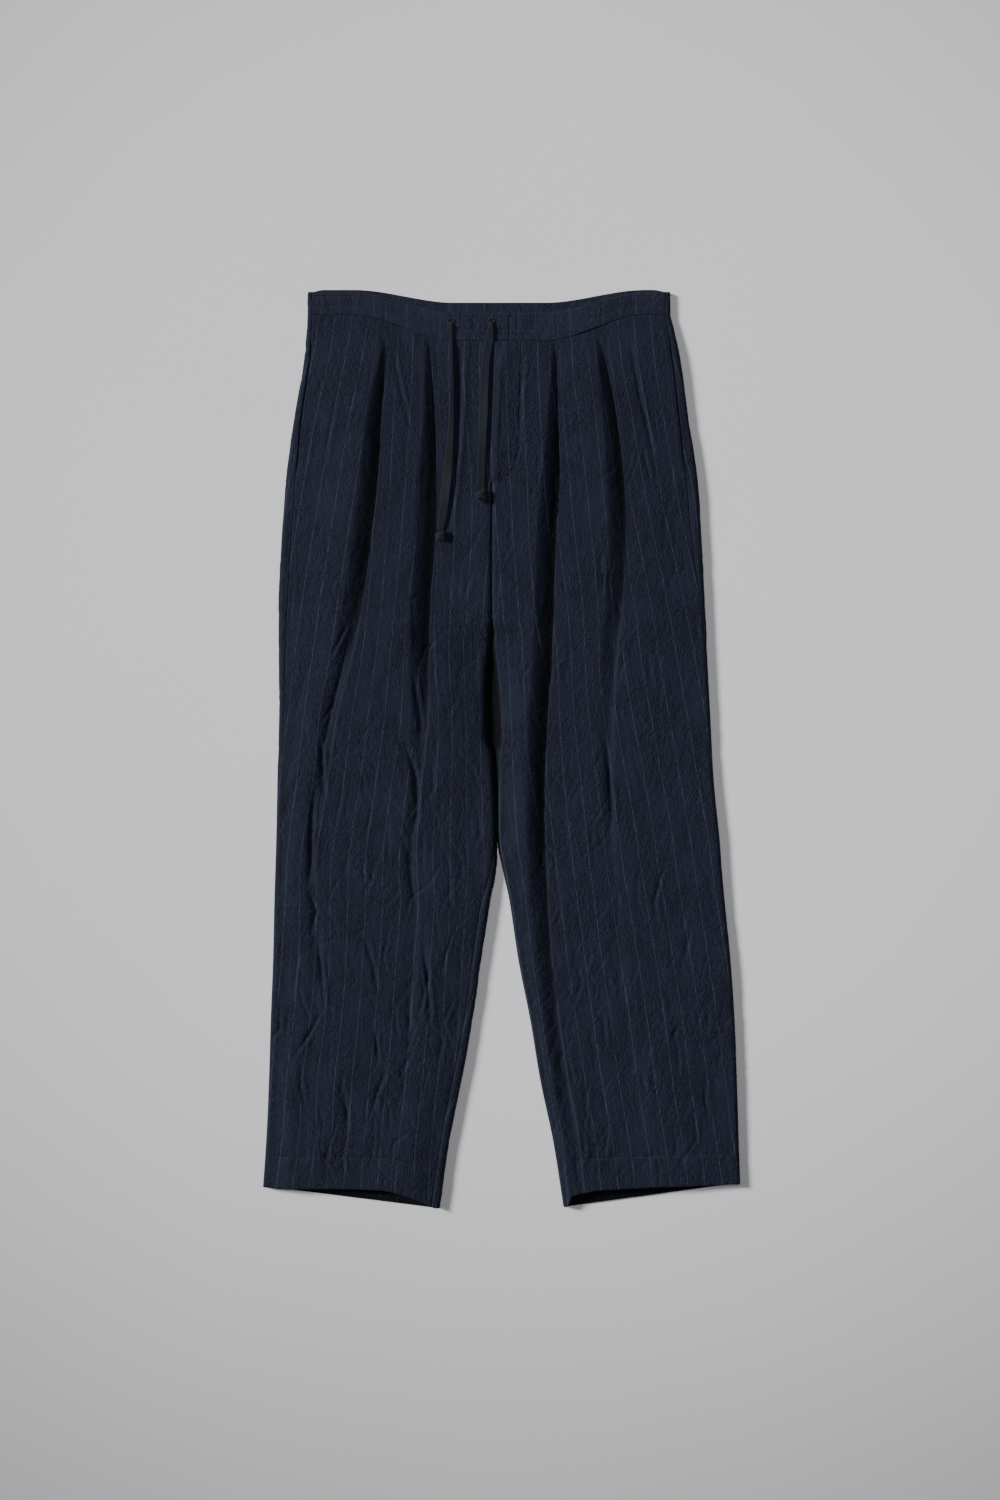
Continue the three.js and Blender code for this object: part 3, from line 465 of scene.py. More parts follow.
class Leg:
    """A leg with its half of the hips, laid flat."""

    def __init__(self, side, rows, folds, hem_outer, hem_inner, front_short):
        self.side, self.rows, self.folds = side, rows, folds
        self.hem_outer, self.hem_inner, self.front_short = hem_outer, hem_inner, front_short
        # The right leg slopes into the centre hollow and the left one drops like a wall
        self.hollow_reach, self.hollow_steepness = (1, 2) if side < 0 else (0.8, 6)

    def opened(self, y):
        return 1 - smoothstep(y, CROTCH_BOTTOM, CROTCH_TOP)

    def inner_edge(self, y):
        joined = smoothstep(y, CROTCH_BOTTOM, CROTCH_TOP)
        middle = lerp(self.rows.at("inner", y), CENTRE_LINE.at("x", y), joined)
        return middle + self.side * (SEAM_GAP / 2 - THIGHS_MEET.at("reach", y))

    def section(self, y, drop):
        rise = lerp(WAIST_FOLD_RISE, LEG_FOLD_RISE, smoothstep(drop, 0, RISE_GROWS))
        outer = self.rows.at("outer", y)
        outer_fold, inner_fold = self.rows.at("outer_fold", y), self.rows.at("inner_fold", y)
        outer_flat = outer - self.side * rise
        inner_flat = self.inner_edge(y) + self.side * rise * np.sin(self.opened(y) * np.pi / 2)
        reach = self.side * FOLD_REACH
        knots = np.stack([
            outer_flat, outer_fold + reach, outer_fold - reach,
            inner_fold + reach, inner_fold - reach, inner_flat,
        ])
        return rise, outer_flat, inner_flat, knots, outer_fold, inner_fold

    def height(self, across, front, drop):
        level = BAND_SEAM_Y - drop
        _, outer_flat, inner_flat, knots, _, _ = self.section(level, drop)
        x = np.where(front > 0.5, top_x(knots, across), lerp(outer_flat, inner_flat, across))
        sag = sag_at(x) * lerp(SAG_BACK_SEAM, SAG_FRONT_SEAM, front) * (1 - smoothstep(drop, 0, SAG_FADE))
        hem_fall = lerp(self.hem_outer, self.hem_inner, across) - LEG_END_Y
        short = front * self.front_short * np.sin(np.pi * across ** HEM_SKEW)
        near_hem = 1 - smoothstep(level - LEG_END_Y, 0, HEM_REACH)
        return level - sag + (hem_fall + short) * near_hem

    def lift(self, across, x, y, drop, section):
        below = lerp(LEG_CROWN, HIP_CROWN, smoothstep(y, HIP_CROWN_BOTTOM, HIP_CROWN_TOP))
        crown = lerp(WAIST_CROWN, below, smoothstep(drop, 0, CROWN_GROWS))
        at_inner = lerp(1, smoothstep(1 - across, 0, CROWN_EDGE), self.opened(y))
        down = self.fold_depth(x, y, drop, section)
        return crown * smoothstep(across, 0, CROWN_EDGE) * at_inner - down, FOLD_LEAN * down

    def fold_depth(self, x, y, drop, section):
        """How far the pleats take the cloth down: a soft slope on the left, a steep one on the right."""
        down = 0 * x
        for name, line in (("outer", section[4]), ("inner", section[5])):
            width = self.folds.at(name + "_width", y)
            depth = self.folds.at(name + "_depth", y) * smoothstep(drop, 0, FOLD_STARTS)
            away = x - line
            q = away / (width * np.where(away < 0, SOFT_SIDE, SHARP_SIDE))
            soft = 0.5 + 0.5 * np.cos(np.pi * np.clip(q, -1, 0))
            sharp = np.cos(np.pi / 2 * np.clip(q, 0, 1)) ** SHARP_POWER
            down = down + depth * np.where(q < 0, soft, sharp)
        return down

    def wraps(self, y):
        outer = np.maximum(self.rows.at("outer_wrap", y), 0)
        return outer, np.maximum(self.rows.at("inner_wrap", y), 0), self.opened(y)


class Waist:
    """The waistband's tube, across both sides."""

    side = -1

    def section(self, y, drop):
        rise = WAIST_FOLD_RISE + 0 * y
        outer_flat, inner_flat = WAIST_RIGHT + rise, WAIST_LEFT - rise
        knots = np.stack([lerp(outer_flat, inner_flat, k / 5) for k in range(6)])
        return rise, outer_flat, inner_flat, knots, None, None

    def height(self, across, front, drop):
        x = lerp(WAIST_RIGHT + WAIST_FOLD_RISE, WAIST_LEFT - WAIST_FOLD_RISE, across)
        part = drop / BAND_HEIGHT
        back_sag = lerp(SAG_BACK_TOP, SAG_BACK_SEAM, part)
        front_sag = lerp(SAG_FRONT_TOP, SAG_FRONT_SEAM, part)
        edge = np.minimum(x - WAIST_RIGHT, WAIST_LEFT - x)
        back_rise = BACK_TOP_RISE * (1 - front) * (1 - part) * smoothstep(edge, 0, BACK_TOP_CORNER)
        top = BAND_SEAM_Y + SEAM_HAIRLINE + BAND_HEIGHT
        return top - drop - sag_at(x) * lerp(back_sag, front_sag, front) + back_rise

    def lift(self, across, x, y, drop, section):
        z = WAIST_CROWN * smoothstep(across, 0, CROWN_EDGE) * smoothstep(1 - across, 0, CROWN_EDGE)
        return z, 0 * z

    def wraps(self, y):
        return WAIST_WRAP + 0 * y, WAIST_WRAP + 0 * y, 1 + 0 * y


def loop_point(tube, p, drop):
    """Points of a tube. The loop runs 0 to 1 over the top from the outer fold, 1 to 2 round the inner fold,
    2 to 3 back along the surface and 3 to 4 round the outer fold."""
    turn = np.mod(p, 4)
    quarter = np.minimum(turn.astype(int), 3)
    part = turn - quarter
    flat = 0 * part
    across = np.choose(quarter, [part, 1 + flat, 1 - part, flat])
    angle = np.pi * np.choose(quarter, [0.5 + flat, 0.5 - part, flat - 0.5, part - 0.5])
    front = (1 + np.sin(angle)) / 2
    y = tube.height(across, front, drop)
    section = tube.section(y, drop)
    rise, outer_flat, inner_flat, knots = section[:4]
    top = top_x(knots, across)
    lifted, shift = tube.lift(across, top, y, drop, section)
    around = tube.side * rise * np.cos(angle)
    under = lerp(outer_flat, inner_flat, across)
    x = np.choose(quarter, [top + shift, inner_flat - around, under, outer_flat + around])
    z = rise * 2 * front + np.where(quarter == 0, lifted, 0)
    return np.stack([x, y, z], axis=-1)


def fold_station(section, wrap, gap, inner):
    """The loop position a distance along the cloth above the outermost line of a fold."""
    rise, _, _, knots = section[:4]
    quarter_turn = rise * np.pi / 2
    bent = np.arccos(np.clip(1 - wrap / rise, -1, 1)) * rise
    along = np.where(wrap < rise, bent, quarter_turn + wrap - rise) + gap
    sign = -1 if inner else 1
    first, last = (knots[5], knots[0]) if inner else (knots[0], knots[5])
    over = across_of(knots, first + np.sign(last - first) * (along - quarter_turn))
    on_arc = (1.5 if inner else 3.5) + sign * along / (2 * quarter_turn)
    return np.where(along < quarter_turn, on_arc, over if inner else 4 + over)


def seam_stations(tube, drop, pocket_gap):
    """The ends of a tube's front and back on its loop, row by row."""
    outer_y = tube.height(0 * drop, 1, drop)
    inner_y = tube.height(1 + 0 * drop, 1, drop)
    outer_section, inner_section = tube.section(outer_y, drop), tube.section(inner_y, drop)
    outer, _, _ = tube.wraps(outer_y)
    _, inner, opened = tube.wraps(inner_y)
    half = SEAM_HAIRLINE / 2
    front_start = fold_station(outer_section, outer, half + pocket_gap, False) - 4
    back_end = fold_station(outer_section, outer, -half, False)
    front_end = lerp(0.999, fold_station(inner_section, inner, half, True), opened)
    back_start = lerp(2, fold_station(inner_section, inner, -half, True), opened)
    return front_start, front_end, back_start, back_end


def evenly(start, end, steps, marks, lengths):
    """Rows of loop positions from start to end, spaced evenly by each row's lengths at the marks."""
    rows = []
    for first, last, at_marks in zip(start, end, lengths):
        reach = np.interp([first, last], marks, at_marks)
        rows.append(np.interp(np.linspace(reach[0], reach[1], steps + 1), at_marks, marks))
    return np.array(rows)


def laid(tube, p, drop):
    """Points of a tube at rows of loop positions, with the columns in the order that faces outwards."""
    drops = np.broadcast_to(drop[:, None], p.shape)
    order = slice(None, None, -1) if tube.side < 0 else slice(None)
    p, drops = p[:, order], drops[:, order]
    return loop_point(tube, p, drops), p, drops


def pocket_gap_at(drop):
    y = BAND_SEAM_Y - drop
    opening = smoothstep(POCKET_TOP - y, 0, POCKET_FADE) * smoothstep(y - POCKET_BOTTOM, 0, POCKET_FADE)
    return POCKET_GAP * opening


RIGHT = Leg(-1, RIGHT_LEG, RIGHT_FOLDS, hem_outer=-481.5, hem_inner=-504.5, front_short=11)
LEFT = Leg(1, LEFT_LEG, LEFT_FOLDS, hem_outer=-478, hem_inner=-503, front_short=8)
WAIST = Waist()


# Creases and crumples


LATTICE = 256


def rumple(x, y, seed):
    """Smooth noise from -1 to 1 over a lattice of random values."""
    values = np.random.RandomState(seed).rand(LATTICE, LATTICE) * 2 - 1
    i, j = np.floor(x).astype(int), np.floor(y).astype(int)
    s, t = smoothstep(x - i, 0, 1), smoothstep(y - j, 0, 1)

    def corner(di, dj):
        return values[(i + di) % LATTICE, (j + dj) % LATTICE]

    return lerp(lerp(corner(0, 0), corner(1, 0), s), lerp(corner(0, 1), corner(1, 1), s), t)


def with_waves(value, waves, x, y, seed):
    """A value with waves of noise on it, each of a size, a spacing across and along, and its own seed."""
    for size, across, along, number in waves:
        value = value + size * rumple(x / across, y / along, seed + number)
    return value


def turned(x, y, degrees):
    c, s = np.cos(np.radians(degrees)), np.sin(np.radians(degrees))
    return c * x + s * y, c * y - s * x


# Families of fine crumples: slant in degrees, spacing across and along, depth and sharpness
CRUMPLES = [
    (6, 13, 72, 0.5, 0.13), (-20, 12, 52, 0.42, 0.14), (23, 12, 54, 0.42, 0.14), (55, 14, 34, 0.2, 0.15),
    (-60, 14, 36, 0.18, 0.15), (0, 7, 30, 0.22, 0.2),
]
# The waves that bend the crumples, and the soft swells under them
BENDS_ACROSS = [(5, 40, 40, 1), (1.5, 9, 14, 3)]
BENDS_ALONG = [(9, 30, 50, 2)]
SWELLS = [(0.3, 13, 30, 30), (0.75, 34, 90, 31)]
CRUMPLE_LEVEL = 0.35


def crinkle(x, y, seed):
    """Small crumples of washed wool: thin valleys that are mostly upright or slanted, over soft swells."""
    bend_x = with_waves(x, BENDS_ACROSS, x, y, seed)
    bend_y = with_waves(y, BENDS_ALONG, x, y, seed)
    total = 0 * x
    for k, (degrees, width, length, depth, sharpness) in enumerate(CRUMPLES):
        u, v = turned(bend_x, bend_y, degrees)
        noise = rumple(u / width, v / length, seed + 10 + k)
        where = smoothstep(rumple(x / 48 + 9 * k, y / 66, seed + 20 + k), -0.35, 0.55)
        total = total - depth * where * np.exp(-(noise / sharpness) ** 2)
    return total + CRUMPLE_LEVEL + with_waves(0 * x, SWELLS, x, y, seed)


def along_line(x, y, line):
    """How far each place is from a line of points, which side of it, and how far along it."""
    line = np.asarray(line, float)
    steps = np.diff(line, axis=0)
    lengths = np.linalg.norm(steps, axis=1)
    done = np.concatenate([[0], np.cumsum(lengths)]) / lengths.sum()
    best = np.full(x.shape, np.inf)
    side, share = np.zeros(x.shape), np.zeros(x.shape)
    for k, (step, length) in enumerate(zip(steps, lengths)):
        dx, dy = x - line[k, 0], y - line[k, 1]
        t = np.clip((dx * step[0] + dy * step[1]) / length ** 2, 0, 1)
        away = np.hypot(dx - t * step[0], dy - t * step[1])
        near = away < best
        best = np.where(near, away, best)
        side = np.where(near, np.sign(dx * step[1] - dy * step[0]), side)
        share = np.where(near, lerp(done[k], done[k + 1], t), share)
    return best, side, share


# A crease shorter than the full length is shallower
FULL_CREASE = 34
CREASE_REACH = 3.2


def crease(x, y, line, depth, width):
    """A trough along a line, with a soft ridge on its right, deepest midway and gone at its ends."""
    reach = CREASE_REACH * width
    line = np.asarray(line, float)
    low, high = line.min(axis=0) - reach, line.max(axis=0) + reach
    close = (x > low[0]) & (x < high[0]) & (y > low[1]) & (y < high[1])
    height = np.zeros(x.shape)
    if not close.any():
        return height
    away, side, share = along_line(x[close], y[close], line)
    depth = depth * min(1, np.linalg.norm(line[-1] - line[0]) / FULL_CREASE)
    signed = -away * side
    ends = np.sin(np.pi * np.clip(share, 0.001, 0.999)) ** 0.6
    trough = np.exp(-np.abs(signed / width) ** 1.3 * 1.9)
    ridge = np.exp(-((signed - width) / width * 1.5) ** 2)
    height[close] = depth * ends * (0.5 * ridge - trough)
    return height


FRONT_CREASES, BACK_CREASES = ((240, 150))
CREASED_TOP, CREASED_BOTTOM = 455, -470


def scattered_creases(x, y, seed, count, strength):
    """Short creases of worn cloth, mostly upright or slanted."""
    draw = np.random.RandomState(seed)
    height = np.zeros(x.shape)
    first, last = x.min(), x.max()
    for _ in range(count):
        cx, cy = draw.uniform(first, last), draw.uniform(CREASED_BOTTOM, CREASED_TOP)
        lean = np.radians(draw.normal(0, 20))
        length = draw.uniform(16, 64)
        bend = draw.uniform(-0.22, 0.22) * length
        depth = draw.uniform(0.35, 1.3) * strength(cy)
        width = draw.uniform(2.0, 3.6)
        half = np.array([np.sin(lean), np.cos(lean)]) * length / 2
        middle = np.array([cx, cy])
        line = [middle + half, middle + bend * np.array([np.cos(lean), -np.sin(lean)]), middle - half]
        height += crease(x, y, line, depth, width)
    return height


def photo_line(pixels):
    return [((px - PHOTO_CENTRE[0]) * PHOTO_SCALE, (PHOTO_CENTRE[1] - py) * PHOTO_SCALE) for px, py in pixels]


CREASE_LINES = [(1.5 * depth, 0.66 * width, photo_line(pixels)) for depth, width, *pixels in CREASES]


def near_route(x, y, route, reach):
    away, _, _ = along_line(x, y, [point[:2] for point in route])
    return 1 - smoothstep(away, reach * 0.6, reach)


# Gathers under the waistband, the dip at its seam, and the dip and slanted pull of the hem's stitching
RUMPLED_BELOW_BAND = 14
PUCKER_SIZE, PUCKER_DROP, PUCKER_HALF = 0.5, 8, 9
SEAM_DIP, SEAM_DIP_HALF = 0.12, 1.4
HEM_DIP, HEM_DIP_HALF = 0.55, 2.0
HEM_PULL, HEM_PULL_HALF = 0.35, 9
TAPE_CALM, TAPE_PRESSED = 10, 0.1


def front_relief(x, y, drop, seed, rumple_table, route):
    """How far a front's cloth stands out from its plain form."""

    def strength(height):
        return rumple_table.at("strength", height)

    height = crinkle(x, y, seed) * strength(y)
    height += scattered_creases(x, y, seed + 50, FRONT_CREASES, strength)
    for depth, width, line in CREASE_LINES:
        height += crease(x, y, line, depth, width)
    height *= smoothstep(drop, 0, RUMPLED_BELOW_BAND)
    pucker = np.sin(x / 2.9 + 2.2 * rumple(x / 12, y / 30, seed + 70)) * rumple(x / 18, 0 * y, seed + 71)
    height += PUCKER_SIZE * pucker * bell(drop - PUCKER_DROP, PUCKER_HALF)
    height -= SEAM_DIP * bell(drop, SEAM_DIP_HALF)
    from_stitch = drop - HEM_DROP
    height -= HEM_DIP * bell(from_stitch, HEM_DIP_HALF)
    slant = np.sin((x + 0.9 * from_stitch) / 3.4 + 3 * rumple(x / 20, y / 30, seed + 72))
    height += HEM_PULL * slant * bell(from_stitch, HEM_PULL_HALF)
    calm = near_route(x, y, route, TAPE_CALM)
    return np.where(calm > 0, lerp(height, np.minimum(height, TAPE_PRESSED), calm), height)


def centre_fall(leg, x, y):
    """The fall of the cloth beside the centre line: a slope on the right leg, a wall on the left one."""
    depth, width = CENTRE_HOLLOW.at("depth", y), CENTRE_HOLLOW.at("width", y)
    away = np.abs(x - leg.inner_edge(y))
    return depth * np.exp(-(away / (width * leg.hollow_reach)) ** leg.hollow_steepness)


# Steps along a front's loop: to the outer pleat, over it, between the pleats, over the inner one, and on
FRONT_STEPS = {"before": 42, "outer_fold": 26, "between": 18, "inner_fold": 28, "after": 34}
BACK_STEPS = {"before": 10, "middle": 38, "after": 24}
FRONT_ROWS, BACK_ROWS = 517, 331
# Below this height the columns of a front grow even, over this length
EVEN_BELOW, EVEN_GROWS = 90, 120


def even(steps):
    return 2 * int(round(steps / (2)))


def front_positions(leg, drop):
    start, end, _, _ = seam_stations(leg, drop, pocket_gap_at(drop))
    y = BAND_SEAM_Y - drop
    knots = leg.section(y, drop)[3]
    fold = np.full(drop.shape, np.pi * LEG_FOLD_RISE)
    first, last = np.abs(knots[1] - knots[0]), np.abs(knots[5] - knots[4])
    low, high = np.full(drop.shape, 0.2), np.full(drop.shape, 0.8)
    at_outer = np.stack([-fold, 0 * fold, first], -1)
    before = evenly(start, low, even(FRONT_STEPS["before"]), [-1, 0, 0.2], at_outer)
    at_inner = np.stack([0 * fold, last, last + fold], -1)
    after = evenly(high, end, even(FRONT_STEPS["after"]), [0.8, 1, 2], at_inner)
    middle = np.concatenate([
        np.linspace(0.2, 0.4, even(FRONT_STEPS["outer_fold"]) + 1)[1:],
        np.linspace(0.4, 0.6, even(FRONT_STEPS["between"]) + 1)[1:],
        np.linspace(0.6, 0.8, even(FRONT_STEPS["inner_fold"]) + 1)[1:-1],
    ])
    pleated = np.concatenate([before, np.broadcast_to(middle, (len(drop), len(middle))), after], axis=1)
    parts = np.abs(np.diff(knots, axis=0))
    over, past = np.cumsum(parts, axis=0), (parts.sum(0) + fold)[None]
    lengths = np.concatenate([-fold[None], 0 * fold[None], over, past])
    level = evenly(start, end, pleated.shape[1] - 1, [-1, 0, 0.2, 0.4, 0.6, 0.8, 1, 2], lengths.T)
    return lerp(pleated, level, smoothstep(EVEN_BELOW - y, 0, EVEN_GROWS)[:, None])


def back_positions(leg, drop):
    _, _, start, end = seam_stations(leg, drop, 0 * drop)
    y = BAND_SEAM_Y - drop
    knots = leg.section(y, drop)[3]
    fold = np.full(drop.shape, np.pi * LEG_FOLD_RISE)
    width = np.abs(knots[5] - knots[0])
    low, high = np.full(drop.shape, 2.06), np.full(drop.shape, 2.94)
    near = 0.06 * width
    past_fold = -fold - np.abs(knots[5] - knots[4])
    at_inner = np.stack([past_fold, -fold, 0 * fold, near], -1)
    before = evenly(start, low, even(BACK_STEPS["before"]), [0.8, 1, 2, 2.06], at_inner)
    over = np.stack([0 * fold, near, near + fold, near + fold + np.abs(knots[1] - knots[0])], -1)
    after = evenly(high, end, even(BACK_STEPS["after"]), [2.94, 3, 4, 4.2], over)
    middle = np.linspace(2.06, 2.94, even(BACK_STEPS["middle"]) + 1)[1:-1]
    return np.concatenate([before, np.broadcast_to(middle, (len(drop), len(middle))), after], axis=1)


def stripes_of(table, p, y):
    """Cloth coordinates in stripe pitches, across and along."""
    turn = np.mod(p + 4, 4)
    knots = np.stack([table.at("k%d" % k, y) for k in range(6)])
    across = np.where(turn > 2, 0, np.where(turn > 1, 1, turn))
    u = top_x(knots, across)
    arc = np.pi * LEG_FOLD_RISE / PITCH
    growth = np.sign(knots[0] - knots[5])
    u = np.where(turn > 2, u + growth * (4 - turn) * arc, u)
    u = np.where((turn > 1) & (turn <= 2), u - growth * (turn - 1) * arc, u)
    return np.stack([u, (BAND_SEAM_Y - y) / PITCH], axis=-1)


def plain_cloth(grid, sign=1):
    """Cloth coordinates from lengths across each row, for a piece with its own straight stripes."""
    steps = np.linalg.norm(np.diff(grid, axis=1), axis=-1)
    middle = grid.shape[1] // 2
    u = np.concatenate([np.zeros((grid.shape[0], 1)), np.cumsum(steps, axis=1)], axis=1)
    u = u - u[:, middle:middle + 1] + grid[:, middle:middle + 1, 0]
    return np.stack([sign * u / PITCH, -grid[..., 1] / PITCH], axis=-1)


def cloth_thickness(drop):
    return np.where(drop > HEM_DROP, HEM_CLOTH, CLOTH)


def edge_roll(grid, reach=EDGE_REACH):
    """From 0 inside a piece to 1 on its first and last columns, where the cloth turns down into a seam."""
    steps = np.linalg.norm(np.diff(grid, axis=1), axis=-1)
    start = np.zeros((grid.shape[0], 1))
    from_first = np.concatenate([start, np.cumsum(steps, axis=1)], axis=1)
    from_last = from_first[:, -1:] - from_first
    return np.exp(-(np.minimum(from_first, from_last) / reach) ** 2)


def beside_pocket(leg, x, y):
    """How near a place is to the pocket's opening, from 0 to 1."""
    away = np.abs(x - leg.rows.at("outer", y))
    along = smoothstep(POCKET_TOP + 16 - y, 0, 8) * smoothstep(y - POCKET_BOTTOM + 16, 0, 8)
    return (1 - smoothstep(away, 22, 30)) * along


# Beside a pocket's opening the relief is shallow and stands a little proud
POCKET_DIP, POCKET_STAND = -0.4, 0.3
# No front comes nearer to the floor than this
LEAST_FRONT_Z = 1.2
# The inner seam's rounded fold, where the relief is left out: its height, its width and where it ends
FOLD_TOP_Z, FOLD_WIDTH, FOLD_LOW, FOLD_HIGH = 8.5, 8, -150, -130


def front_panel(name, leg, table, seed, rumple_table, route, material):
    drop = np.linspace(0, LAST_DROP, odd(FRONT_ROWS))
    grid, p, drops = laid(leg, front_positions(leg, drop), drop)
    x, y = grid[..., 0], grid[..., 1]
    height = front_relief(x, y, drops, seed, rumple_table, route)
    height = lerp(height, np.maximum(height, POCKET_DIP) + POCKET_STAND, beside_pocket(leg, x, y))
    height = height - FRONT_EDGE_ROLL * edge_roll(grid)
    in_fold = smoothstep(FOLD_TOP_Z - grid[..., 2], 0, 3) * (np.abs(x - leg.inner_edge(y)) < FOLD_WIDTH)
    in_fold = in_fold * smoothstep(y, FOLD_LOW, FOLD_HIGH)
    height = lerp(height, 0, in_fold) * (1 - edge_roll(grid, SEAM_CALM))
    dressed = grid + grid_normals(grid) * height[..., None]
    dressed[..., 2] -= centre_fall(leg, x, y) * smoothstep(grid[..., 2], 2, 6)
    dressed[..., 2] = np.maximum(dressed[..., 2], LEAST_FRONT_Z)
    line = leg.inner_edge(y)
    kept = np.minimum(dressed[..., 0], line) if leg.side < 0 else np.maximum(dressed[..., 0], line)
    dressed[..., 0] = np.where(y > CROTCH_TOP, kept, dressed[..., 0])
    # Painted shade for the colour: how deep each point lies in a pleat or in the hollow between the legs,
    # where shade falls
    turn = np.mod(p + 4, 4)
    section = leg.section(y, drops)
    shaded_pleat_depth = leg.fold_depth(top_x(section[3], np.minimum(turn, 1)), y, drops, section)
    painted_shade = np.maximum(np.where(turn <= 1, shaded_pleat_depth, 0), HOLLOW_SHADE_SHARE * centre_fall(leg, x, y)) / FULL_SHADE_DEPTH
    return shell(name, dressed, cloth_thickness(drop), stripes_of(table, p, y), material, painted_shade=painted_shade)


BACK_RUMPLE, BACK_CREASE, BACK_HEM_DIP, BACK_SUNK = 0.8, 0.9, 0.4, 0.4


def back_panel(name, leg, seed, material):
    drop = np.linspace(0, LAST_DROP, odd(BACK_ROWS))
    grid, _, drops = laid(leg, back_positions(leg, drop), drop)
    x, y, z = grid[..., 0], grid[..., 1], grid[..., 2]
    height = crinkle(x, y, seed) * BACK_RUMPLE
    height += scattered_creases(x, y, seed + 50, BACK_CREASES, lambda at: BACK_CREASE)
    height *= smoothstep(drops, 0, RUMPLED_BELOW_BAND)
    height -= BACK_HEM_DIP * bell(drops - HEM_DROP, HEM_DIP_HALF) + FRONT_EDGE_ROLL * edge_roll(grid)
    on_floor = 1 - smoothstep(z, 0.5, 4)
    height = lerp(height, np.minimum(height - BACK_SUNK, 0), on_floor) * (1 - edge_roll(grid, SEAM_CALM))
    dressed = grid + grid_normals(grid) * height[..., None]
    dressed[..., 2] = np.maximum(dressed[..., 2] - centre_fall(leg, x, y) * smoothstep(z, 0.5, 3), 0)
    # Painted shade for the colour in the hollow between the legs
    painted_shade = HOLLOW_SHADE_SHARE * centre_fall(leg, x, y) / FULL_SHADE_DEPTH
    return shell(name, dressed, cloth_thickness(drop), plain_cloth(grid), material, painted_shade=painted_shade)


# Waistband

BAND_ROWS, BAND_STEP = 23, 1.2
BAND_TOP_DIP, EYELET_DEPTH = 0.5, 2.2
BAND_SWELLS = [(0.28, 9, 40, 0), (0.22, 4, 10, 1)]
# Pressed lines across the band: height above its lower seam, depth and half width
BAND_GROOVES = [(8.8, 0.35, 1.0), (19.8, 0.3, 0.8), (23.6, 0.25, 0.8)]
BAND_CREASES = [
    (1.3, 3, (452, 305), (452, 312), (452, 320)),
    (0.7, 4, (352, 295), (352, 318)),
    (0.9, 3, (385, 308), (385, 327)),
    (0.6, 4, (474, 316), (475, 336)),
    (0.7, 4, (520, 316), (518, 334)),
    (0.6, 4, (548, 315), (546, 336)),
    (0.6, 4, (590, 306), (588, 330)),
]


def band_positions(start, end):
    width = WAIST_LEFT - WAIST_RIGHT - 2 * WAIST_FOLD_RISE
    fold = np.pi * WAIST_FOLD_RISE
    marks, lengths = np.arange(6), np.cumsum([0, width, fold, width, fold, width])
    reach = np.interp([start, end], marks, lengths)
    steps = even((reach[1] - reach[0]) / BAND_STEP)
    return np.interp(np.linspace(reach[0], reach[1], steps + 1), lengths, marks)


def band_relief(x, y, drop, seed):
    up = BAND_HEIGHT - drop
    height = with_waves(0 * x, BAND_SWELLS, x, y, seed)
    for at, depth, width in BAND_GROOVES:
        height -= depth * bell(up - at, width)
    for depth, width, *pixels in BAND_CREASES:
        height += crease(x, y, photo_line(pixels), depth, width)
    height -= BAND_TOP_DIP * bell(drop, EDGE_REACH) + SEAM_DIP * bell(up, EDGE_REACH)
    for eyelet_x in (EYELET_RIGHT_X, EYELET_LEFT_X):
        away = np.hypot(x - eyelet_x, y - EYELET_Y)
        height = np.where(away < EYELET_OUTER + 1, np.minimum(height, 0), height)
        height -= EYELET_DEPTH * (1 - smoothstep(away, EYELET_HOLE - 0.5, EYELET_HOLE + 0.5))
    return height


def waistband(name, start, end, seed, material):
    drop = np.linspace(0, BAND_HEIGHT, odd(BAND_ROWS))
    positions = band_positions(start, end)
    grid, _, drops = laid(WAIST, np.broadcast_to(positions, (len(drop), len(positions))), drop)
    height = band_relief(grid[..., 0], grid[..., 1], drops, seed) - BAND_EDGE_ROLL * edge_roll(grid)
    above_floor = smoothstep(grid[..., 2], 0.5, 3)
    height = lerp(np.minimum(height - 0.3, 0), height, above_floor)
    dressed = grid + grid_normals(grid) * height[..., None]
    dressed[..., 2] = np.maximum(dressed[..., 2], 0)
    return shell(name, dressed, BAND_CLOTH, plain_cloth(grid), material)


# Pocket facings and fly


def pocket_facing(name, leg, material):
    first, last = BAND_SEAM_Y - POCKET_TOP - FACING_ENDS, BAND_SEAM_Y - POCKET_BOTTOM + FACING_ENDS
    drop = np.linspace(first, last, odd(FACING_ROWS))
    y = leg.height(0 * drop, 1, drop)
    section = leg.section(y, drop)
    outer, _, _ = leg.wraps(y)
    start = fold_station(section, outer, -FACING_BACK, False) - 4
    end = fold_station(section, outer, FACING_FRONT, False) - 4
    p = lerp(start[:, None], end[:, None], np.linspace(0, 1, odd(FACING_COLUMNS)))
    grid, _, _ = laid(leg, p, drop)
    grid = grid - grid_normals(grid) * (CLOTH + FACING_CLEAR)
    return shell(name, grid, CLOTH, plain_cloth(grid), material)


class Surface:
    """The upper side of dressed pieces, for laying other things on them. Millimetres."""

    def __init__(self, *pieces):
        self.trees = []
        for piece in pieces:
            mesh = piece.data
            points = np.empty(3 * len(mesh.vertices))
            mesh.vertices.foreach_get("co", points)
            faces = [tuple(face.vertices) for face in mesh.polygons]
            self.trees.append(BVHTree.FromPolygons((points.reshape(-1, 3) / MM).tolist(), faces))

    def height(self, x, y, otherwise=0.0):
        hits = [tree.ray_cast(Vector((x, y, 60)), Vector((0, 0, -1)))[0] for tree in self.trees]
        found = [hit.z for hit in hits if hit is not None]
        return max(found) if found else otherwise

    def heights(self, x, y):
        return np.vectorize(self.height)(x, y)


FLY_ROWS, FLY_COLUMNS, FLY_SEED = 131, 25, 91
# The round foot isn't drawn down to nothing
LEAST_FOOT = 0.03
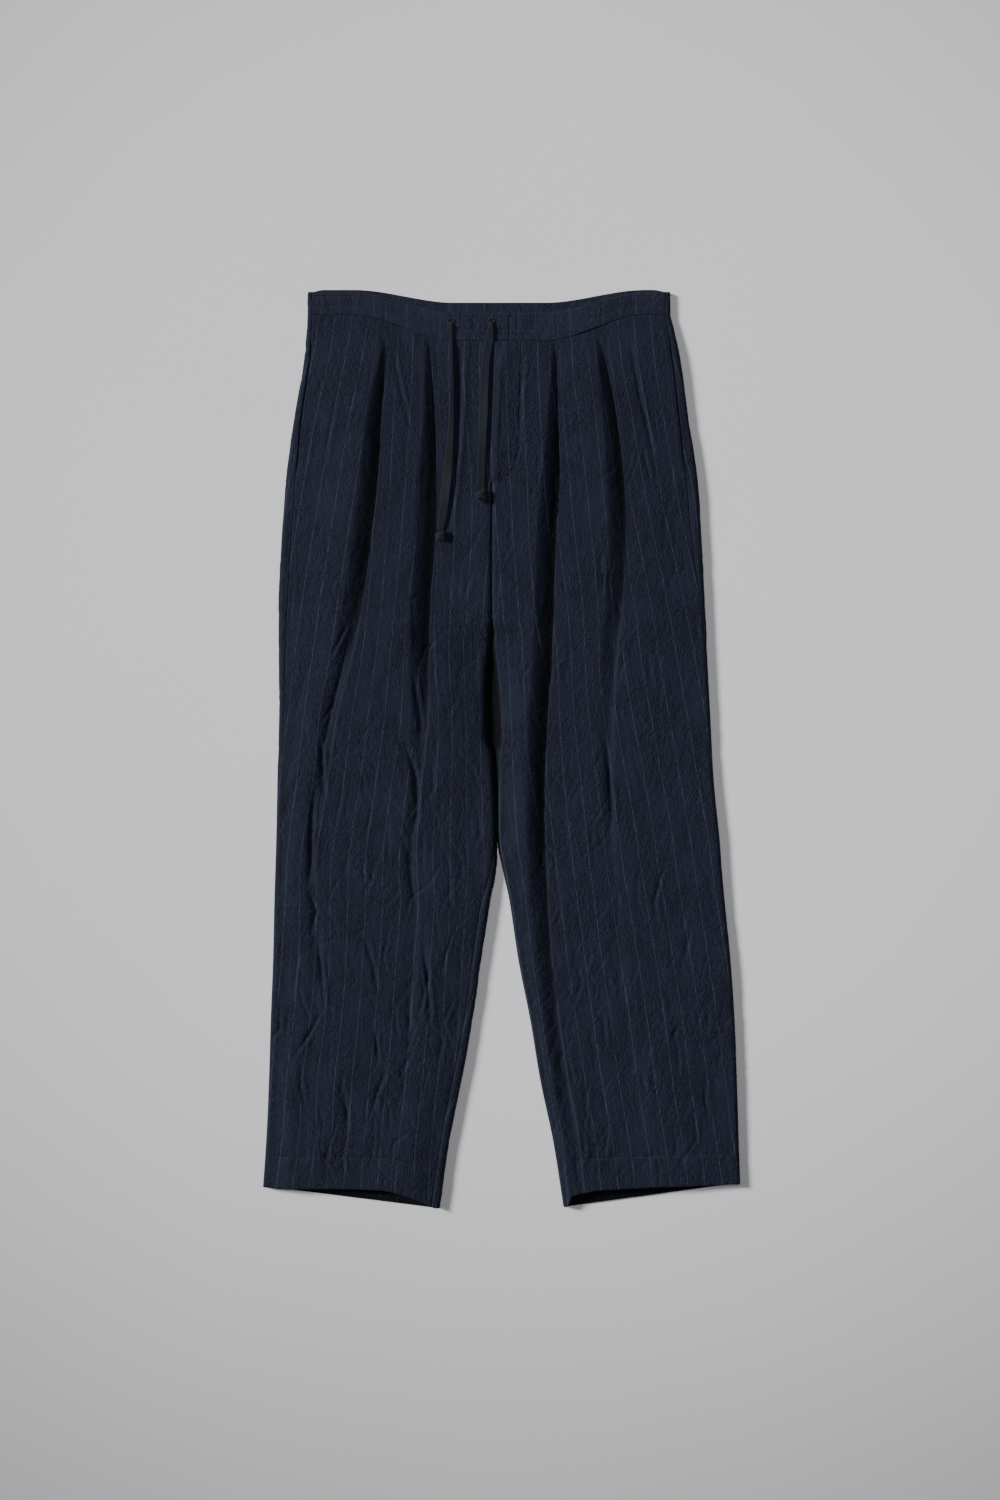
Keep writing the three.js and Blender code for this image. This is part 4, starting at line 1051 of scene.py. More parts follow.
# The stitched edge: how near to the front it is held, how thin it is, and where it begins
FLY_EDGE_CLEAR, FLY_EDGE_CLOTH, FLY_EDGE_FROM, FLY_FOOT_FLAT = 0.01, 0.05, 0.35, 6
# The front's height is read this far from the centre line at least
FLY_PROBE = 2.5
FLY_RIPPLES = [(0.35, 6, 22, 0), (0.25, 3.4, 9, 1)]
FLY_FOLD_DIP, FLY_FOLD_HALF = 0.4, 0.04


def fly_piece(name, surface, material):
    y = np.linspace(FLY_TOP, FLY_BOTTOM, odd(FLY_ROWS))[:, None]
    middle = CENTRE_LINE.at("x", y)
    foot = np.clip((y - FLY_BOTTOM) / FLY_ROUND, LEAST_FOOT, 1)
    across = np.linspace(0, 1, odd(FLY_COLUMNS))
    x = middle - FLY_LAP + FLY_WIDTH * np.sqrt(1 - (1 - foot) ** 2) * across
    y = np.broadcast_to(y, x.shape)
    under = surface.heights(np.maximum(x, middle + FLY_PROBE), y)
    under = (under + np.roll(under, 1, axis=0) + np.roll(under, -1, axis=0)) / 3
    under[0], under[-1] = under[1], under[-2]
    near_foot = 1 - smoothstep(y - FLY_BOTTOM, 0, FLY_FOOT_FLAT)
    near_stitch = np.maximum(smoothstep(across, FLY_EDGE_FROM, 1), near_foot)
    clear = lerp(FLY_CLEAR, FLY_EDGE_CLEAR, near_stitch)
    cloth = lerp(CLOTH, FLY_EDGE_CLOTH, near_stitch)
    ripple = with_waves(0 * x, FLY_RIPPLES, x, y, FLY_SEED)
    top = under + clear + cloth + ripple * (1 - near_stitch) - FLY_FOLD_DIP * bell(across, FLY_FOLD_HALF)
    grid = np.stack([x, y, top], axis=-1)[:, ::-1]
    knots = np.stack([LEFT_STRIPES.at("k%d" % k, y) for k in range(6)])
    places = across_of(LEFT.section(y, BAND_SEAM_Y - y)[3], np.maximum(x, middle + 1))
    stripes = top_x(knots, places) + np.minimum(x - middle - 1, 0) / PITCH
    cloth_at = np.stack([stripes, (BAND_SEAM_Y - y) / PITCH], axis=-1)[:, ::-1]
    return shell(name, grid, cloth[:, ::-1], cloth_at, material)


# Eyelets, tapes and knots


def eyelet_ring(name, x, material):
    """A worked eyelet: thread laid side by side from the hole outwards, all round."""
    stitches, across = 22, 9
    around = stitches * 6
    angle = np.linspace(0, 2 * np.pi, around, endpoint=False)[:, None]
    bow = np.linspace(0, 2 * np.pi, across * 2, endpoint=False)[None, :]
    thread = 0.5 + 0.5 * np.cos(stitches * angle)
    uneven = 0.18 * np.sin(3 * angle + 1) + 0.12 * np.sin(7 * angle)
    middle = (EYELET_OUTER + EYELET_HOLE) / 2
    half = (EYELET_OUTER - EYELET_HOLE) / 2 - 0.15 + 0.18 * uneven
    radius = middle + half * np.cos(bow) + 0.12 * thread
    rise = np.where(np.sin(bow) > 0, 0.45 + 0.4 * thread, 0.25)
    z = BAND_TOP_Z + 0.35 + rise * np.sin(bow)
    points = np.stack([x + radius * np.cos(angle), EYELET_Y + radius * np.sin(angle), z + 0 * angle], axis=-1)
    at = np.arange(around * across * 2).reshape(around, across * 2)
    ring, row = np.roll(at, -1, axis=0), np.roll(at, -1, axis=1)
    both = np.roll(row, -1, axis=0)
    faces = np.stack([at, ring, both, row], axis=-1).reshape(-1, 4).tolist()
    places = np.stack([angle * middle + 0 * bow, bow * half], axis=-1).reshape(-1, 2)
    return piece_from(name, points.reshape(-1, 3), faces, places, material)


def smooth_route(points, step):
    """Points a step apart on a smooth curve through the given ones."""
    points = np.asarray(points, float)
    before = np.concatenate([[2 * points[0] - points[1]], points, [2 * points[-1] - points[-2]]])
    curve = []
    for a, b, c, d in zip(before[:-3], before[1:-2], before[2:-1], before[3:]):
        t = np.linspace(0, 1, 12, endpoint=False)[:, None]
        square, cube = 2 * a - 5 * b + 4 * c - d, 3 * b - a - 3 * c + d
        curve.append(0.5 * (2 * b + (c - a) * t + square * t ** 2 + cube * t ** 3))
    curve = np.concatenate(curve + [points[-1:]])
    along = np.concatenate([[0], np.cumsum(np.linalg.norm(np.diff(curve, axis=0), axis=1))])
    at = np.linspace(0, along[-1], int(round(along[-1] / step)) + 1)
    return np.stack([np.interp(at, along, curve[:, k]) for k in range(3)], axis=-1), at


def tube_faces(rings, around):
    """The faces of a closed tube of rings of points, with its two ends."""
    at = np.arange(rings * around).reshape(rings, around)
    beside = np.roll(at, -1, axis=1)
    faces = np.stack([at[:-1], beside[:-1], beside[1:], at[1:]], axis=-1).reshape(-1, 4).tolist()
    return faces + [at[0][::-1].tolist(), at[-1].tolist()]


TAPE_AROUND = 18


def ribbon(line, up, width, thickness, cup):
    """A flat woven tape swept along a line: points, faces and cloth coordinates in millimetres."""
    count = len(line)
    ahead = np.gradient(line, axis=0)
    ahead /= np.linalg.norm(ahead, axis=1, keepdims=True)
    side = np.cross(ahead, up)
    side /= np.linalg.norm(side, axis=1, keepdims=True)
    over = np.cross(side, ahead)
    angle = np.linspace(0, 2 * np.pi, TAPE_AROUND, endpoint=False)
    c, s = np.cos(angle), np.sin(angle)
    across = np.sign(c) * np.abs(c) ** 0.55
    above = np.sign(s) * np.abs(s) ** 0.7
    sizes = (width, thickness, cup)
    width, thickness, cup = (np.broadcast_to(size, (count,))[:, None, None] for size in sizes)
    lateral = across[None, :, None] * width / 2
    vertical = above[None, :, None] * thickness / 2 + cup * across[None, :, None] ** 2
    points = line[:, None] + side[:, None] * lateral + over[:, None] * vertical
    along = np.concatenate([[0], np.cumsum(np.linalg.norm(np.diff(line, axis=0), axis=1))])
    places = np.stack(np.broadcast_arrays(lateral[..., 0], along[:, None]), axis=-1)
    return points.reshape(-1, 3), tube_faces(count, TAPE_AROUND), places.reshape(-1, 2)


def joined(parts):
    """Several closed parts as one set of points, faces and cloth coordinates."""
    all_points, all_faces, all_places, made = [], [], [], 0
    for points, faces, places in parts:
        all_faces += [[made + corner for corner in face] for face in faces]
        made += len(points)
        all_points.append(points)
        all_places.append(places)
    return np.concatenate(all_points), all_faces, np.concatenate(all_places)


def tape_piece(name, route, widths, seed, material):
    """A drawcord's tape. Widths gives its width at lengths from the eyelet, narrow where it is bunched."""
    line, at = smooth_route(route, 1.5)
    width = np.interp(at, *zip(*widths)) + 0.25 * rumple(at / 14, 0 * at, seed)
    bunched = np.clip((TAPE_WIDTH - width) / TAPE_WIDTH, 0, 1)
    thickness = TAPE_THICKNESS - 0.3 + 1.3 * bunched
    tilt = np.radians(9) * rumple(at / 30, 0 * at, seed + 1) + np.radians(14) * bunched
    up = np.stack([np.sin(tilt), 0 * tilt, np.cos(tilt)], axis=-1)
    line = line + np.stack([0 * at, 0 * at, 0.25 + 0.3 * np.abs(rumple(at / 22, 0 * at, seed + 2))], axis=-1)
    into_hole = smoothstep(6 - at, 0, 6)
    line[:, 2] -= 2.4 * into_hole
    points, faces, places = ribbon(line, up, width, thickness, 0.45 * (1 - bunched))
    return piece_from(name, points, faces, places, material)


def ring_line(centre, radii, tilt, lean, steps=28):
    """A closed turn of tape round a knot, and the outward direction along it."""
    angle = np.linspace(0, 2 * np.pi, steps + 1)
    flat = np.stack([radii[0] * np.cos(angle), 0 * angle, radii[1] * np.sin(angle)], axis=-1)
    outward = np.stack([np.cos(angle) / radii[0], 0 * angle, np.sin(angle) / radii[1]], axis=-1)
    c, s = np.cos(np.radians(tilt)), np.sin(np.radians(tilt))
    turn = np.array([[c, -s, 0], [s, c, 0], [0, 0, 1]])
    c, s = np.cos(np.radians(lean)), np.sin(np.radians(lean))
    roll = np.array([[1, 0, 0], [0, c, -s], [0, s, c]])
    both = turn @ roll
    return np.asarray(centre) + flat @ both.T, outward @ both.T


TURN_THICKNESS, TURN_CUP = 1.5, -0.3
TAIL_THICKNESS, TAIL_CUP = 1.6, 0.15


def knot_piece(name, turns, tail, material):
    """An overhand knot of flat tape: turns that cross, and the short end below them."""
    parts = []
    for centre, radii, tilt, lean, width in turns:
        line, up = ring_line(centre, radii, tilt, lean)
        parts.append(ribbon(line, up, width, TURN_THICKNESS, TURN_CUP))
    line, _ = smooth_route(tail["route"], 0.8)
    upright = np.tile([0.0, 0.0, 1.0], (len(line), 1))
    parts.append(ribbon(line, upright, tail["width"], TAIL_THICKNESS, TAIL_CUP))
    points, faces, places = joined(parts)
    return piece_from(name, points, faces, places, material)


# Sewing thread

STITCH_LENGTH, STITCH_GAP, THREAD, STITCH_LIFT = 2.5, 0.7, 0.28, 0.05
STITCH_SIDES = 6
BAND_LINE_POINTS, LINE_POINTS = 60, 40
# Along a stitch: shares of its length, how thick it is there, and how far it stands proud
STITCH_SHARES = np.array([0, 0.12, 0.5, 0.88, 1])
STITCH_RADII = THREAD * np.array([0.35, 0.9, 1, 0.9, 0.35])
STITCH_PROUD = np.array([-0.15, 0, 0.06, 0, -0.15])


def stitch_run(line, surface, length):
    """Stitches along a line of places, each a short rounded length of thread lying on the surface."""
    flat = [(x, y, 0) for x, y in line]
    path, at = smooth_route(flat, 0.4)
    total = at[-1]
    count = max(1, int(total / (length + STITCH_GAP)))
    shares = STITCH_SHARES
    angle = np.linspace(0, 2 * np.pi, STITCH_SIDES, endpoint=False)
    faces = tube_faces(len(shares), STITCH_SIDES)
    places = np.repeat(np.stack([0 * shares, shares * length], axis=-1), STITCH_SIDES, axis=0)
    stitches = []
    for k in range(count):
        low = total * (k + 0.5) / count - length / 2
        x = np.interp(low + shares * length, at, path[:, 0])
        y = np.interp(low + shares * length, at, path[:, 1])
        z = np.array([surface.height(px, py) for px, py in zip(x, y)])
        z = np.maximum(z, np.linspace(z[0], z[-1], len(z))) + STITCH_LIFT + STITCH_PROUD
        heading = np.array([x[-1] - x[0], y[-1] - y[0], 0]) / max(np.hypot(x[-1] - x[0], y[-1] - y[0]), 1e-6)
        side = np.array([-heading[1], heading[0], 0])
        centre = np.stack([x, y, z], axis=-1)
        rings = centre[:, None] + STITCH_RADII[:, None, None] * (
            np.cos(angle)[None, :, None] * side + np.sin(angle)[None, :, None] * np.array([0, 0, 1])
        )
        stitches.append((rings.reshape(-1, 3), faces, places))
    return stitches


def stitching(name, runs, surface, material, length=STITCH_LENGTH):
    points, faces, places = joined([stitch for line in runs for stitch in stitch_run(line, surface, length)])
    piece_from(name, points, faces, places, material)


def band_line(up, start, end):
    """A line along the front waistband a distance above its lower seam."""
    x = np.linspace(start, end, BAND_LINE_POINTS)
    across = (x - WAIST_RIGHT - WAIST_FOLD_RISE) / (WAIST_LEFT - WAIST_RIGHT - 2 * WAIST_FOLD_RISE)
    return list(zip(x, WAIST.height(across, 1 + 0 * x, BAND_HEIGHT - up + 0 * x)))


def hem_line(leg):
    across = np.linspace(0.02, 0.98, LINE_POINTS)
    drop = HEM_DROP + 0 * across
    y = leg.height(across, 1 + 0 * across, drop)
    knots = leg.section(y, drop)[3]
    return list(zip(top_x(knots, across), y))


def pocket_line(leg, inside):
    """The stitch line beside a pocket's opening, on the front."""
    y = np.linspace(POCKET_TOP + 6, POCKET_BOTTOM - 2, LINE_POINTS)
    outer, _, _ = leg.wraps(y)
    return list(zip(leg.rows.at("outer", y) - leg.side * (outer + inside), y))


def bar_tack(x, y, width, height, rows):
    """Close stitches side by side across the foot of a pocket."""
    levels = y + np.linspace(-height / 2, height / 2, rows)
    return [[(x - width / 2, level), (x + width / 2, level)] for level in levels]


# Materials. Cloth coordinates are stripe pitches on wool and millimetres on tape.


class Graph:
    """A material's nodes, with a short call for each kind that is used here."""

    def __init__(self, name):
        self.material = bpy.data.materials.new(name)
        self.material.use_nodes = True
        self.tree = self.material.node_tree
        self.tree.nodes.clear()
        output = self.tree.nodes.new("ShaderNodeOutputMaterial")
        self.shader = self.tree.nodes.new("ShaderNodeBsdfPrincipled")
        self.tree.links.new(self.shader.outputs["BSDF"], output.inputs["Surface"])

    def put(self, socket, value):
        if isinstance(value, bpy.types.NodeSocket):
            self.tree.links.new(value, socket)
        else:
            socket.default_value = value

    def math(self, operation, *values):
        node = self.tree.nodes.new("ShaderNodeMath")
        node.operation = operation
        for socket, value in zip(node.inputs, values):
            self.put(socket, value)
        return node.outputs[0]

    def product(self, first, *others):
        for other in others:
            first = self.math("MULTIPLY", first, other)
        return first

    def cloth(self):
        node = self.tree.nodes.new("ShaderNodeUVMap")
        node.uv_map = "cloth"
        parts = self.tree.nodes.new("ShaderNodeSeparateXYZ")
        self.put(parts.inputs[0], node.outputs[0])
        return parts.outputs[0], parts.outputs[1]

    def attribute(self, name):
        node = self.tree.nodes.new("ShaderNodeAttribute")
        node.attribute_name = name
        return node.outputs["Fac"]

    def vector(self, x, y, z):
        node = self.tree.nodes.new("ShaderNodeCombineXYZ")
        for socket, value in zip(node.inputs, (x, y, z)):
            self.put(socket, value)
        return node.outputs[0]

    def noise(self, x, y, detail=2.0, roughness=0.5, seed=0.0):
        """Smooth noise from 0 to 1 whose period is about 1."""
        node = self.tree.nodes.new("ShaderNodeTexNoise")
        self.put(node.inputs["Vector"], self.vector(x, y, seed))
        node.inputs["Scale"].default_value = 1.0
        node.inputs["Detail"].default_value = detail
        node.inputs["Roughness"].default_value = roughness
        return node.outputs[0]

    def grain(self, x, y, across, along, *settings):
        """Noise with its own scale across and along."""
        return self.noise(self.product(x, across), self.product(y, along), *settings)

    def ramp(self, value, low, high, to_low=0.0, to_high=1.0):
        node = self.tree.nodes.new("ShaderNodeMapRange")
        node.interpolation_type = "SMOOTHSTEP"
        for socket, entry in zip(node.inputs[:5], (value, low, high, to_low, to_high)):
            self.put(socket, entry)
        return node.outputs[0]

    def mix(self, share, a, b):
        node = self.tree.nodes.new("ShaderNodeMix")
        node.data_type = "RGBA"
        self.put(node.inputs[0], share)
        self.put(node.inputs[6], a)
        self.put(node.inputs[7], b)
        return node.outputs[2]

    def shade(self, colour, share):
        """A colour made lighter or darker by a number."""
        node = self.tree.nodes.new("ShaderNodeVectorMath")
        node.operation = "SCALE"
        self.put(node.inputs[0], colour)
        self.put(node.inputs["Scale"], share)
        return node.outputs[0]

    def bump(self, height, distance, normal=None):
        node = self.tree.nodes.new("ShaderNodeBump")
        node.inputs["Distance"].default_value = distance * MM
        self.put(node.inputs["Height"], height)
        if normal is not None:
            self.put(node.inputs["Normal"], normal)
        return node.outputs[0]

    def finish(self, colour, roughness, sheen, specular, normal=None):
        self.put(self.shader.inputs["Base Color"], colour)
        self.put(self.shader.inputs["Roughness"], roughness)
        self.put(self.shader.inputs["Sheen Weight"], sheen)
        self.put(self.shader.inputs["Sheen Roughness"], 0.45)
        self.put(self.shader.inputs["Specular IOR Level"], specular)
        if normal is not None:
            self.put(self.shader.inputs["Normal"], normal)
        return self.material


def opaque(red, green, blue):
    """A colour as a mixing node takes it."""
    return (red, green, blue, 1.0)


def valley(g, noise):
    """1 on open ground, falling to 0 in thin lines where the noise is at its middle."""
    return g.ramp(g.math("ABSOLUTE", g.math("SUBTRACT", noise, 0.5)), 0.0, 0.055, 0.0, 1.0)


def wool(name, ground, chalk, brown, stripe_share=1.0):
    """Worn plain-woven wool: heathered ground, broken chalk stripes, fainter brown ones between them, and
    painted shade deep in the pleats, in the hollow between the legs and on the inside.
    """
    g = Graph(name)
    u, v = g.cloth()
    x, y = g.math("MULTIPLY", u, PITCH), g.math("MULTIPLY", v, PITCH)
    wander = g.math("MULTIPLY_ADD", g.noise(u, g.product(v, 0.7), 1), 0.024, -0.012)
    placed = g.math("ADD", u, wander)
    from_chalk = g.math("PINGPONG", placed, 0.5)
    from_brown = g.math("PINGPONG", g.math("ADD", placed, 0.5), 0.5)
    fibre = g.ramp(g.grain(x, y, 1.1, 0.55, 2, 0.6, 3.0), 0.38, 0.6, 0.35, 1.0)
    strength = g.ramp(g.grain(u, v, 1.3, 0.8, 2, 0.6, 5.0), 0.36, 0.62, 0.62, 1.0)
    chalk_share = g.product(g.ramp(from_chalk, 0.012, 0.04, 1.0, 0.0), fibre, strength, 0.8 * stripe_share)
    brown_share = g.product(g.ramp(from_brown, 0.01, 0.04, 1.0, 0.0), fibre, strength, 0.55 * stripe_share)
    heather = g.ramp(g.grain(x, y, 0.9, 0.9, 3, 0.7), 0.3, 0.7, 0.7, 1.34)
    slub = g.ramp(g.grain(x, y, 1.6, 0.12, 2, 0.6, 7.0), 0.35, 0.65, 0.84, 1.18)
    weft = g.ramp(g.grain(x, y, 0.12, 1.4, 2, 0.6, 8.0), 0.35, 0.65, 0.9, 1.11)
    washed = g.ramp(g.grain(x, y, 0.03, 0.022, 3, 0.55, 9.0), 0.35, 0.65, 0.92, 1.1)
    colour = g.shade(ground, g.product(heather, slub, weft, washed))
    colour = g.mix(chalk_share, colour, chalk)
    colour = g.mix(brown_share, colour, brown)
    # Painted shade: the colour is darkened where the cloth lies deep in a pleat, in the hollow between the
    # legs, and on the inside of the panels
    painted_shade = g.attribute("painted_shade")
    colour = g.shade(colour, g.product(g.ramp(painted_shade, 0.25, 0.9, 1.0, 0.24), g.ramp(painted_shade, 1.05, 1.6, 1.0, 0.2)))
    threads = g.product(
        g.math("SINE", g.product(x, 2 * np.pi / 0.8)), g.math("SINE", g.product(y, 2 * np.pi / 0.8)),
    )
    bent_x = g.math("ADD", x, g.product(g.grain(x, y, 0.1, 0.08, 2, 0.5, 13.0), 9.0))
    tall = g.grain(bent_x, y, 0.17, 0.055, 2, 0.55, 11.0)
    slant_x = g.product(g.math("ADD", bent_x, g.product(y, 0.6)), 0.15)
    slanted = g.noise(slant_x, g.product(y, 0.07), 2, 0.55, 14.0)
    creases = g.math("ADD", valley(g, tall), valley(g, slanted))
    patches = g.ramp(g.grain(x, y, 0.022, 0.016, 2, 0.5, 15.0), 0.35, 0.6, 0.25, 1.0)
    patched = g.product(creases, patches)
    crumple = g.math("ADD", patched, g.grain(x, y, 0.3, 0.2, 3, 0.6, 16.0))
    fuzz = g.grain(x, y, 1.3, 1.3, 2, 0.6, 12.0)
    normal = g.bump(crumple, 0.5)
    normal = g.bump(fuzz, 0.16, normal)
    normal = g.bump(threads, 0.03, normal)
    roughness = g.ramp(fuzz, 0.3, 0.7, 0.78, 0.92)
    return g.finish(colour, roughness, 0.02, 0.12, normal)


def tape_cotton(name, ground):
    """Narrow woven cotton: fine ribs across and a firmer edge."""
    g = Graph(name)
    x, y = g.cloth()
    mottle = g.ramp(g.grain(x, y, 0.8, 0.5, 3, 0.6), 0.3, 0.7, 0.85, 1.18)
    edge = g.ramp(g.math("ABSOLUTE", x), 3.9, 4.7, 1.0, 1.22)
    slanted = g.math("ADD", g.math("ABSOLUTE", x), y)
    rib = g.math("SINE", g.product(slanted, 2 * np.pi / 1.3))
    shade = g.ramp(rib, -1.0, 1.0, 0.92, 1.08)
    normal = g.bump(rib, 0.09)
    normal = g.bump(g.grain(x, y, 2.0, 2.0, 2), 0.08, normal)
    return g.finish(g.shade(ground, g.product(mottle, edge, shade)), 0.8, 0.05, 0.25, normal)


def thread(name, ground):
    """Twisted sewing thread."""
    g = Graph(name)
    x, y = g.cloth()
    twist = g.math("SINE", g.product(g.math("ADD", x, y), 2 * np.pi / 0.5))
    mottle = g.ramp(g.grain(x, y, 0.7, 0.7, 2), 0.3, 0.7, 0.85, 1.15)
    normal = g.bump(twist, 0.05)
    return g.finish(g.shade(ground, mottle), 0.7, 0.04, 0.3, normal)


# The floor's painted pool of light is brightest this far towards the waist
PAINTED_LIGHT_NORTH = 0.2


def floor_paper(name, ground):
    """A plain pale surface with a painted falloff of light: brightest near the middle, darker towards its
    rim.
    """
    g = Graph(name)
    place = g.tree.nodes.new("ShaderNodeTexCoord")
    parts = g.tree.nodes.new("ShaderNodeSeparateXYZ")
    g.put(parts.inputs[0], place.outputs["Object"])
    east, north = parts.outputs[0], parts.outputs[1]
    cloud = g.ramp(g.grain(east, north, 2.0, 2.0, 2), 0.3, 0.7, 0.99, 1.01)
    # Painted falloff of light: the paper's colour fades from a bright middle towards the rim
    up = g.math("SUBTRACT", north, PAINTED_LIGHT_NORTH)
    away = g.math("SQRT", g.math("ADD", g.product(east, east), g.product(up, up)))
    return g.finish(g.shade(ground, g.product(cloud, g.ramp(away, 0.5, 1.5, 1.0, 0.5))), 0.9, 0.0, 0.2)


NAVY, CHALK, BROWN = (0.0094, 0.0114, 0.0228), opaque(0.042, 0.047, 0.070), opaque(0.023, 0.020, 0.027)
BAND_NAVY, BAND_CHALK = (0.0112, 0.0133, 0.0256), opaque(0.038, 0.043, 0.062)
BAND_BROWN, BAND_STRIPE_SHARE = opaque(0.024, 0.021, 0.028), 0.7
WOOL = wool("wool", NAVY, CHALK, BROWN)
BAND_WOOL = wool("waistband_wool", BAND_NAVY, BAND_CHALK, BAND_BROWN, BAND_STRIPE_SHARE)
TAPE = tape_cotton("tape_cotton", (0.0054, 0.0086, 0.0150))
RING_THREAD = thread("eyelet_thread", (0.0098, 0.0118, 0.0215))
SEWING = thread("sewing_thread", (0.0240, 0.0270, 0.0430))
TACK_THREAD = thread("tack_thread", (0.0125, 0.0145, 0.0250))


# The trousers, piece by piece

make_camera()

right_front = front_panel("right_front_cloth", RIGHT, RIGHT_STRIPES, 11, RIGHT_RUMPLE, RIGHT_ROUTE, WOOL)
left_front = front_panel("left_front_cloth", LEFT, LEFT_STRIPES, 23, LEFT_RUMPLE, LEFT_ROUTE, WOOL)
right_back = back_panel("right_back_cloth", RIGHT, 37, WOOL)
left_back = back_panel("left_back_cloth", LEFT, 41, WOOL)

band_ends = [float(end[0]) for end in seam_stations(WAIST, np.array([0.0]), 0)]
band_front_start, band_front_end, band_back_start, band_back_end = band_ends
join = float(across_of(WAIST.section(np.array(0.0), 0)[3], np.array(WAIST_JOIN)))
join_gap = SEAM_GAP / 2 / (WAIST_LEFT - WAIST_RIGHT)
band_right = waistband("waistband_right_cloth", band_front_start, join - join_gap, 51, BAND_WOOL)
band_left = waistband("waistband_left_cloth", join + join_gap, band_front_end, 53, BAND_WOOL)
band_back = waistband("waistband_back_cloth", band_back_start, band_back_end, 57, BAND_WOOL)

right_facing = pocket_facing("right_pocket_facing_cloth", RIGHT, WOOL)
left_facing = pocket_facing("left_pocket_facing_cloth", LEFT, WOOL)

fly = fly_piece("fly_cloth", Surface(left_front), WOOL)

eyelet_right = eyelet_ring("eyelet_right_thread", EYELET_RIGHT_X, RING_THREAD)
eyelet_left = eyelet_ring("eyelet_left_thread", EYELET_LEFT_X, RING_THREAD)

RIGHT_WIDTHS = [(0, 3.4), (8, 4), (40, 4.4), (95, 5.4), (135, 7.6), (170, 9.4), (215, 9.4), (232, 5.6)]
LEFT_WIDTHS = [(0, 3.6), (9, 6.5), (22, 9.4), (110, 9.8), (150, 8.4), (176, 8.8), (187, 7.4)]
tape_right = tape_piece("drawcord_right_tape", RIGHT_ROUTE, RIGHT_WIDTHS, 61, TAPE)
tape_left = tape_piece("drawcord_left_tape", LEFT_ROUTE, LEFT_WIDTHS, 67, TAPE)

# Each turn of a knot: centre, half sizes across and up, tilt, lean and tape width
knot_right = knot_piece("knot_right_tape", [
    ((-66.6, 233.6, 19.6), (5.4, 2.9), 24, 10, 6.0),
    ((-66.4, 231.2, 19.4), (5.0, 2.6), -20, -8, 5.6),
], {"route": [(-66.8, 234, 19.6), (-67.4, 231, 18.8), (-68, 227.6, 17.4)], "width": 8}, TAPE)
knot_left = knot_piece("knot_left_tape", [
    ((-22.6, 278.4, 20.2), (6.6, 3.3), 36, 8, 6.4),
    ((-22.0, 276.0, 19.8), (6.0, 3.0), -24, -10, 5.8),
], {"route": [(-22.4, 279, 20.4), (-20.4, 275.4, 20.4), (-19.0, 270.4, 18.6)], "width": 9.4}, TAPE)

cloth_top = Surface(right_front, left_front, fly)
band_top = Surface(band_right, band_left)
FLY_STITCHES = [(523, 346), (521, 360), (521, 405), (521, 450), (515, 463), (502, 478), (493, 485)]
seam_start, seam_end = WAIST_RIGHT + WAIST_WRAP + 2, WAIST_LEFT - WAIST_WRAP - 2
# Heights of the band's rows of stitches above its lower seam: two stop at the join and one runs past it
STOPPING_ROWS, RUNNING_ROW = (8.8, 19.8), 23.4
BAND_SPANS = [(seam_start, WAIST_JOIN - 1), (WAIST_JOIN + 1, seam_end)]
band_lines = [band_line(up, *span) for up in STOPPING_ROWS for span in BAND_SPANS]
stitching("waistband_stitches", band_lines + [band_line(RUNNING_ROW, seam_start, seam_end)], band_top, SEWING)
POCKET_STITCH_INSIDE = 6.5
stitching("fly_stitches", [photo_line(FLY_STITCHES)], cloth_top, SEWING)
pocket_lines = [pocket_line(leg, POCKET_STITCH_INSIDE) for leg in (RIGHT, LEFT)]
stitching("pocket_stitches", pocket_lines, cloth_top, SEWING)
stitching("hem_stitches", [hem_line(RIGHT), hem_line(LEFT)], cloth_top, SEWING)
TACK_PLACES, TACK_WIDTH, TACK_HEIGHT, TACK_ROWS, TACK_STITCH = (-222.5, 200.5), 6, 2.4, 5, 5.2
tack_lines = sum([bar_tack(x, POCKET_BOTTOM, TACK_WIDTH, TACK_HEIGHT, TACK_ROWS) for x in TACK_PLACES], [])
stitching("pocket_bar_tacks", tack_lines, cloth_top, TACK_THREAD, length=TACK_STITCH)

for piece, node in [
    (right_front, "right_front"), (left_front, "left_front"),
    (right_back, "right_back"), (left_back, "left_back"),
    (band_right, "waistband_front_right"), (band_left, "waistband_front_left"), (band_back, "waistband_back"),
    (fly, "fly"), (right_facing, "right_pocket_facing"), (left_facing, "left_pocket_facing"),
    (eyelet_right, "eyelet_right"), (eyelet_left, "eyelet_left"),
    (tape_right, "drawcord_right"), (tape_left, "drawcord_left"),
    (knot_right, "knot_right"), (knot_left, "knot_left"),
]:
    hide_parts(node)


# Each drawcord tape's route length, in metres, worked out and not kept


def route_length(route):
    _, at = smooth_route(route, 1.0)
    return float(at[-1]) * MM


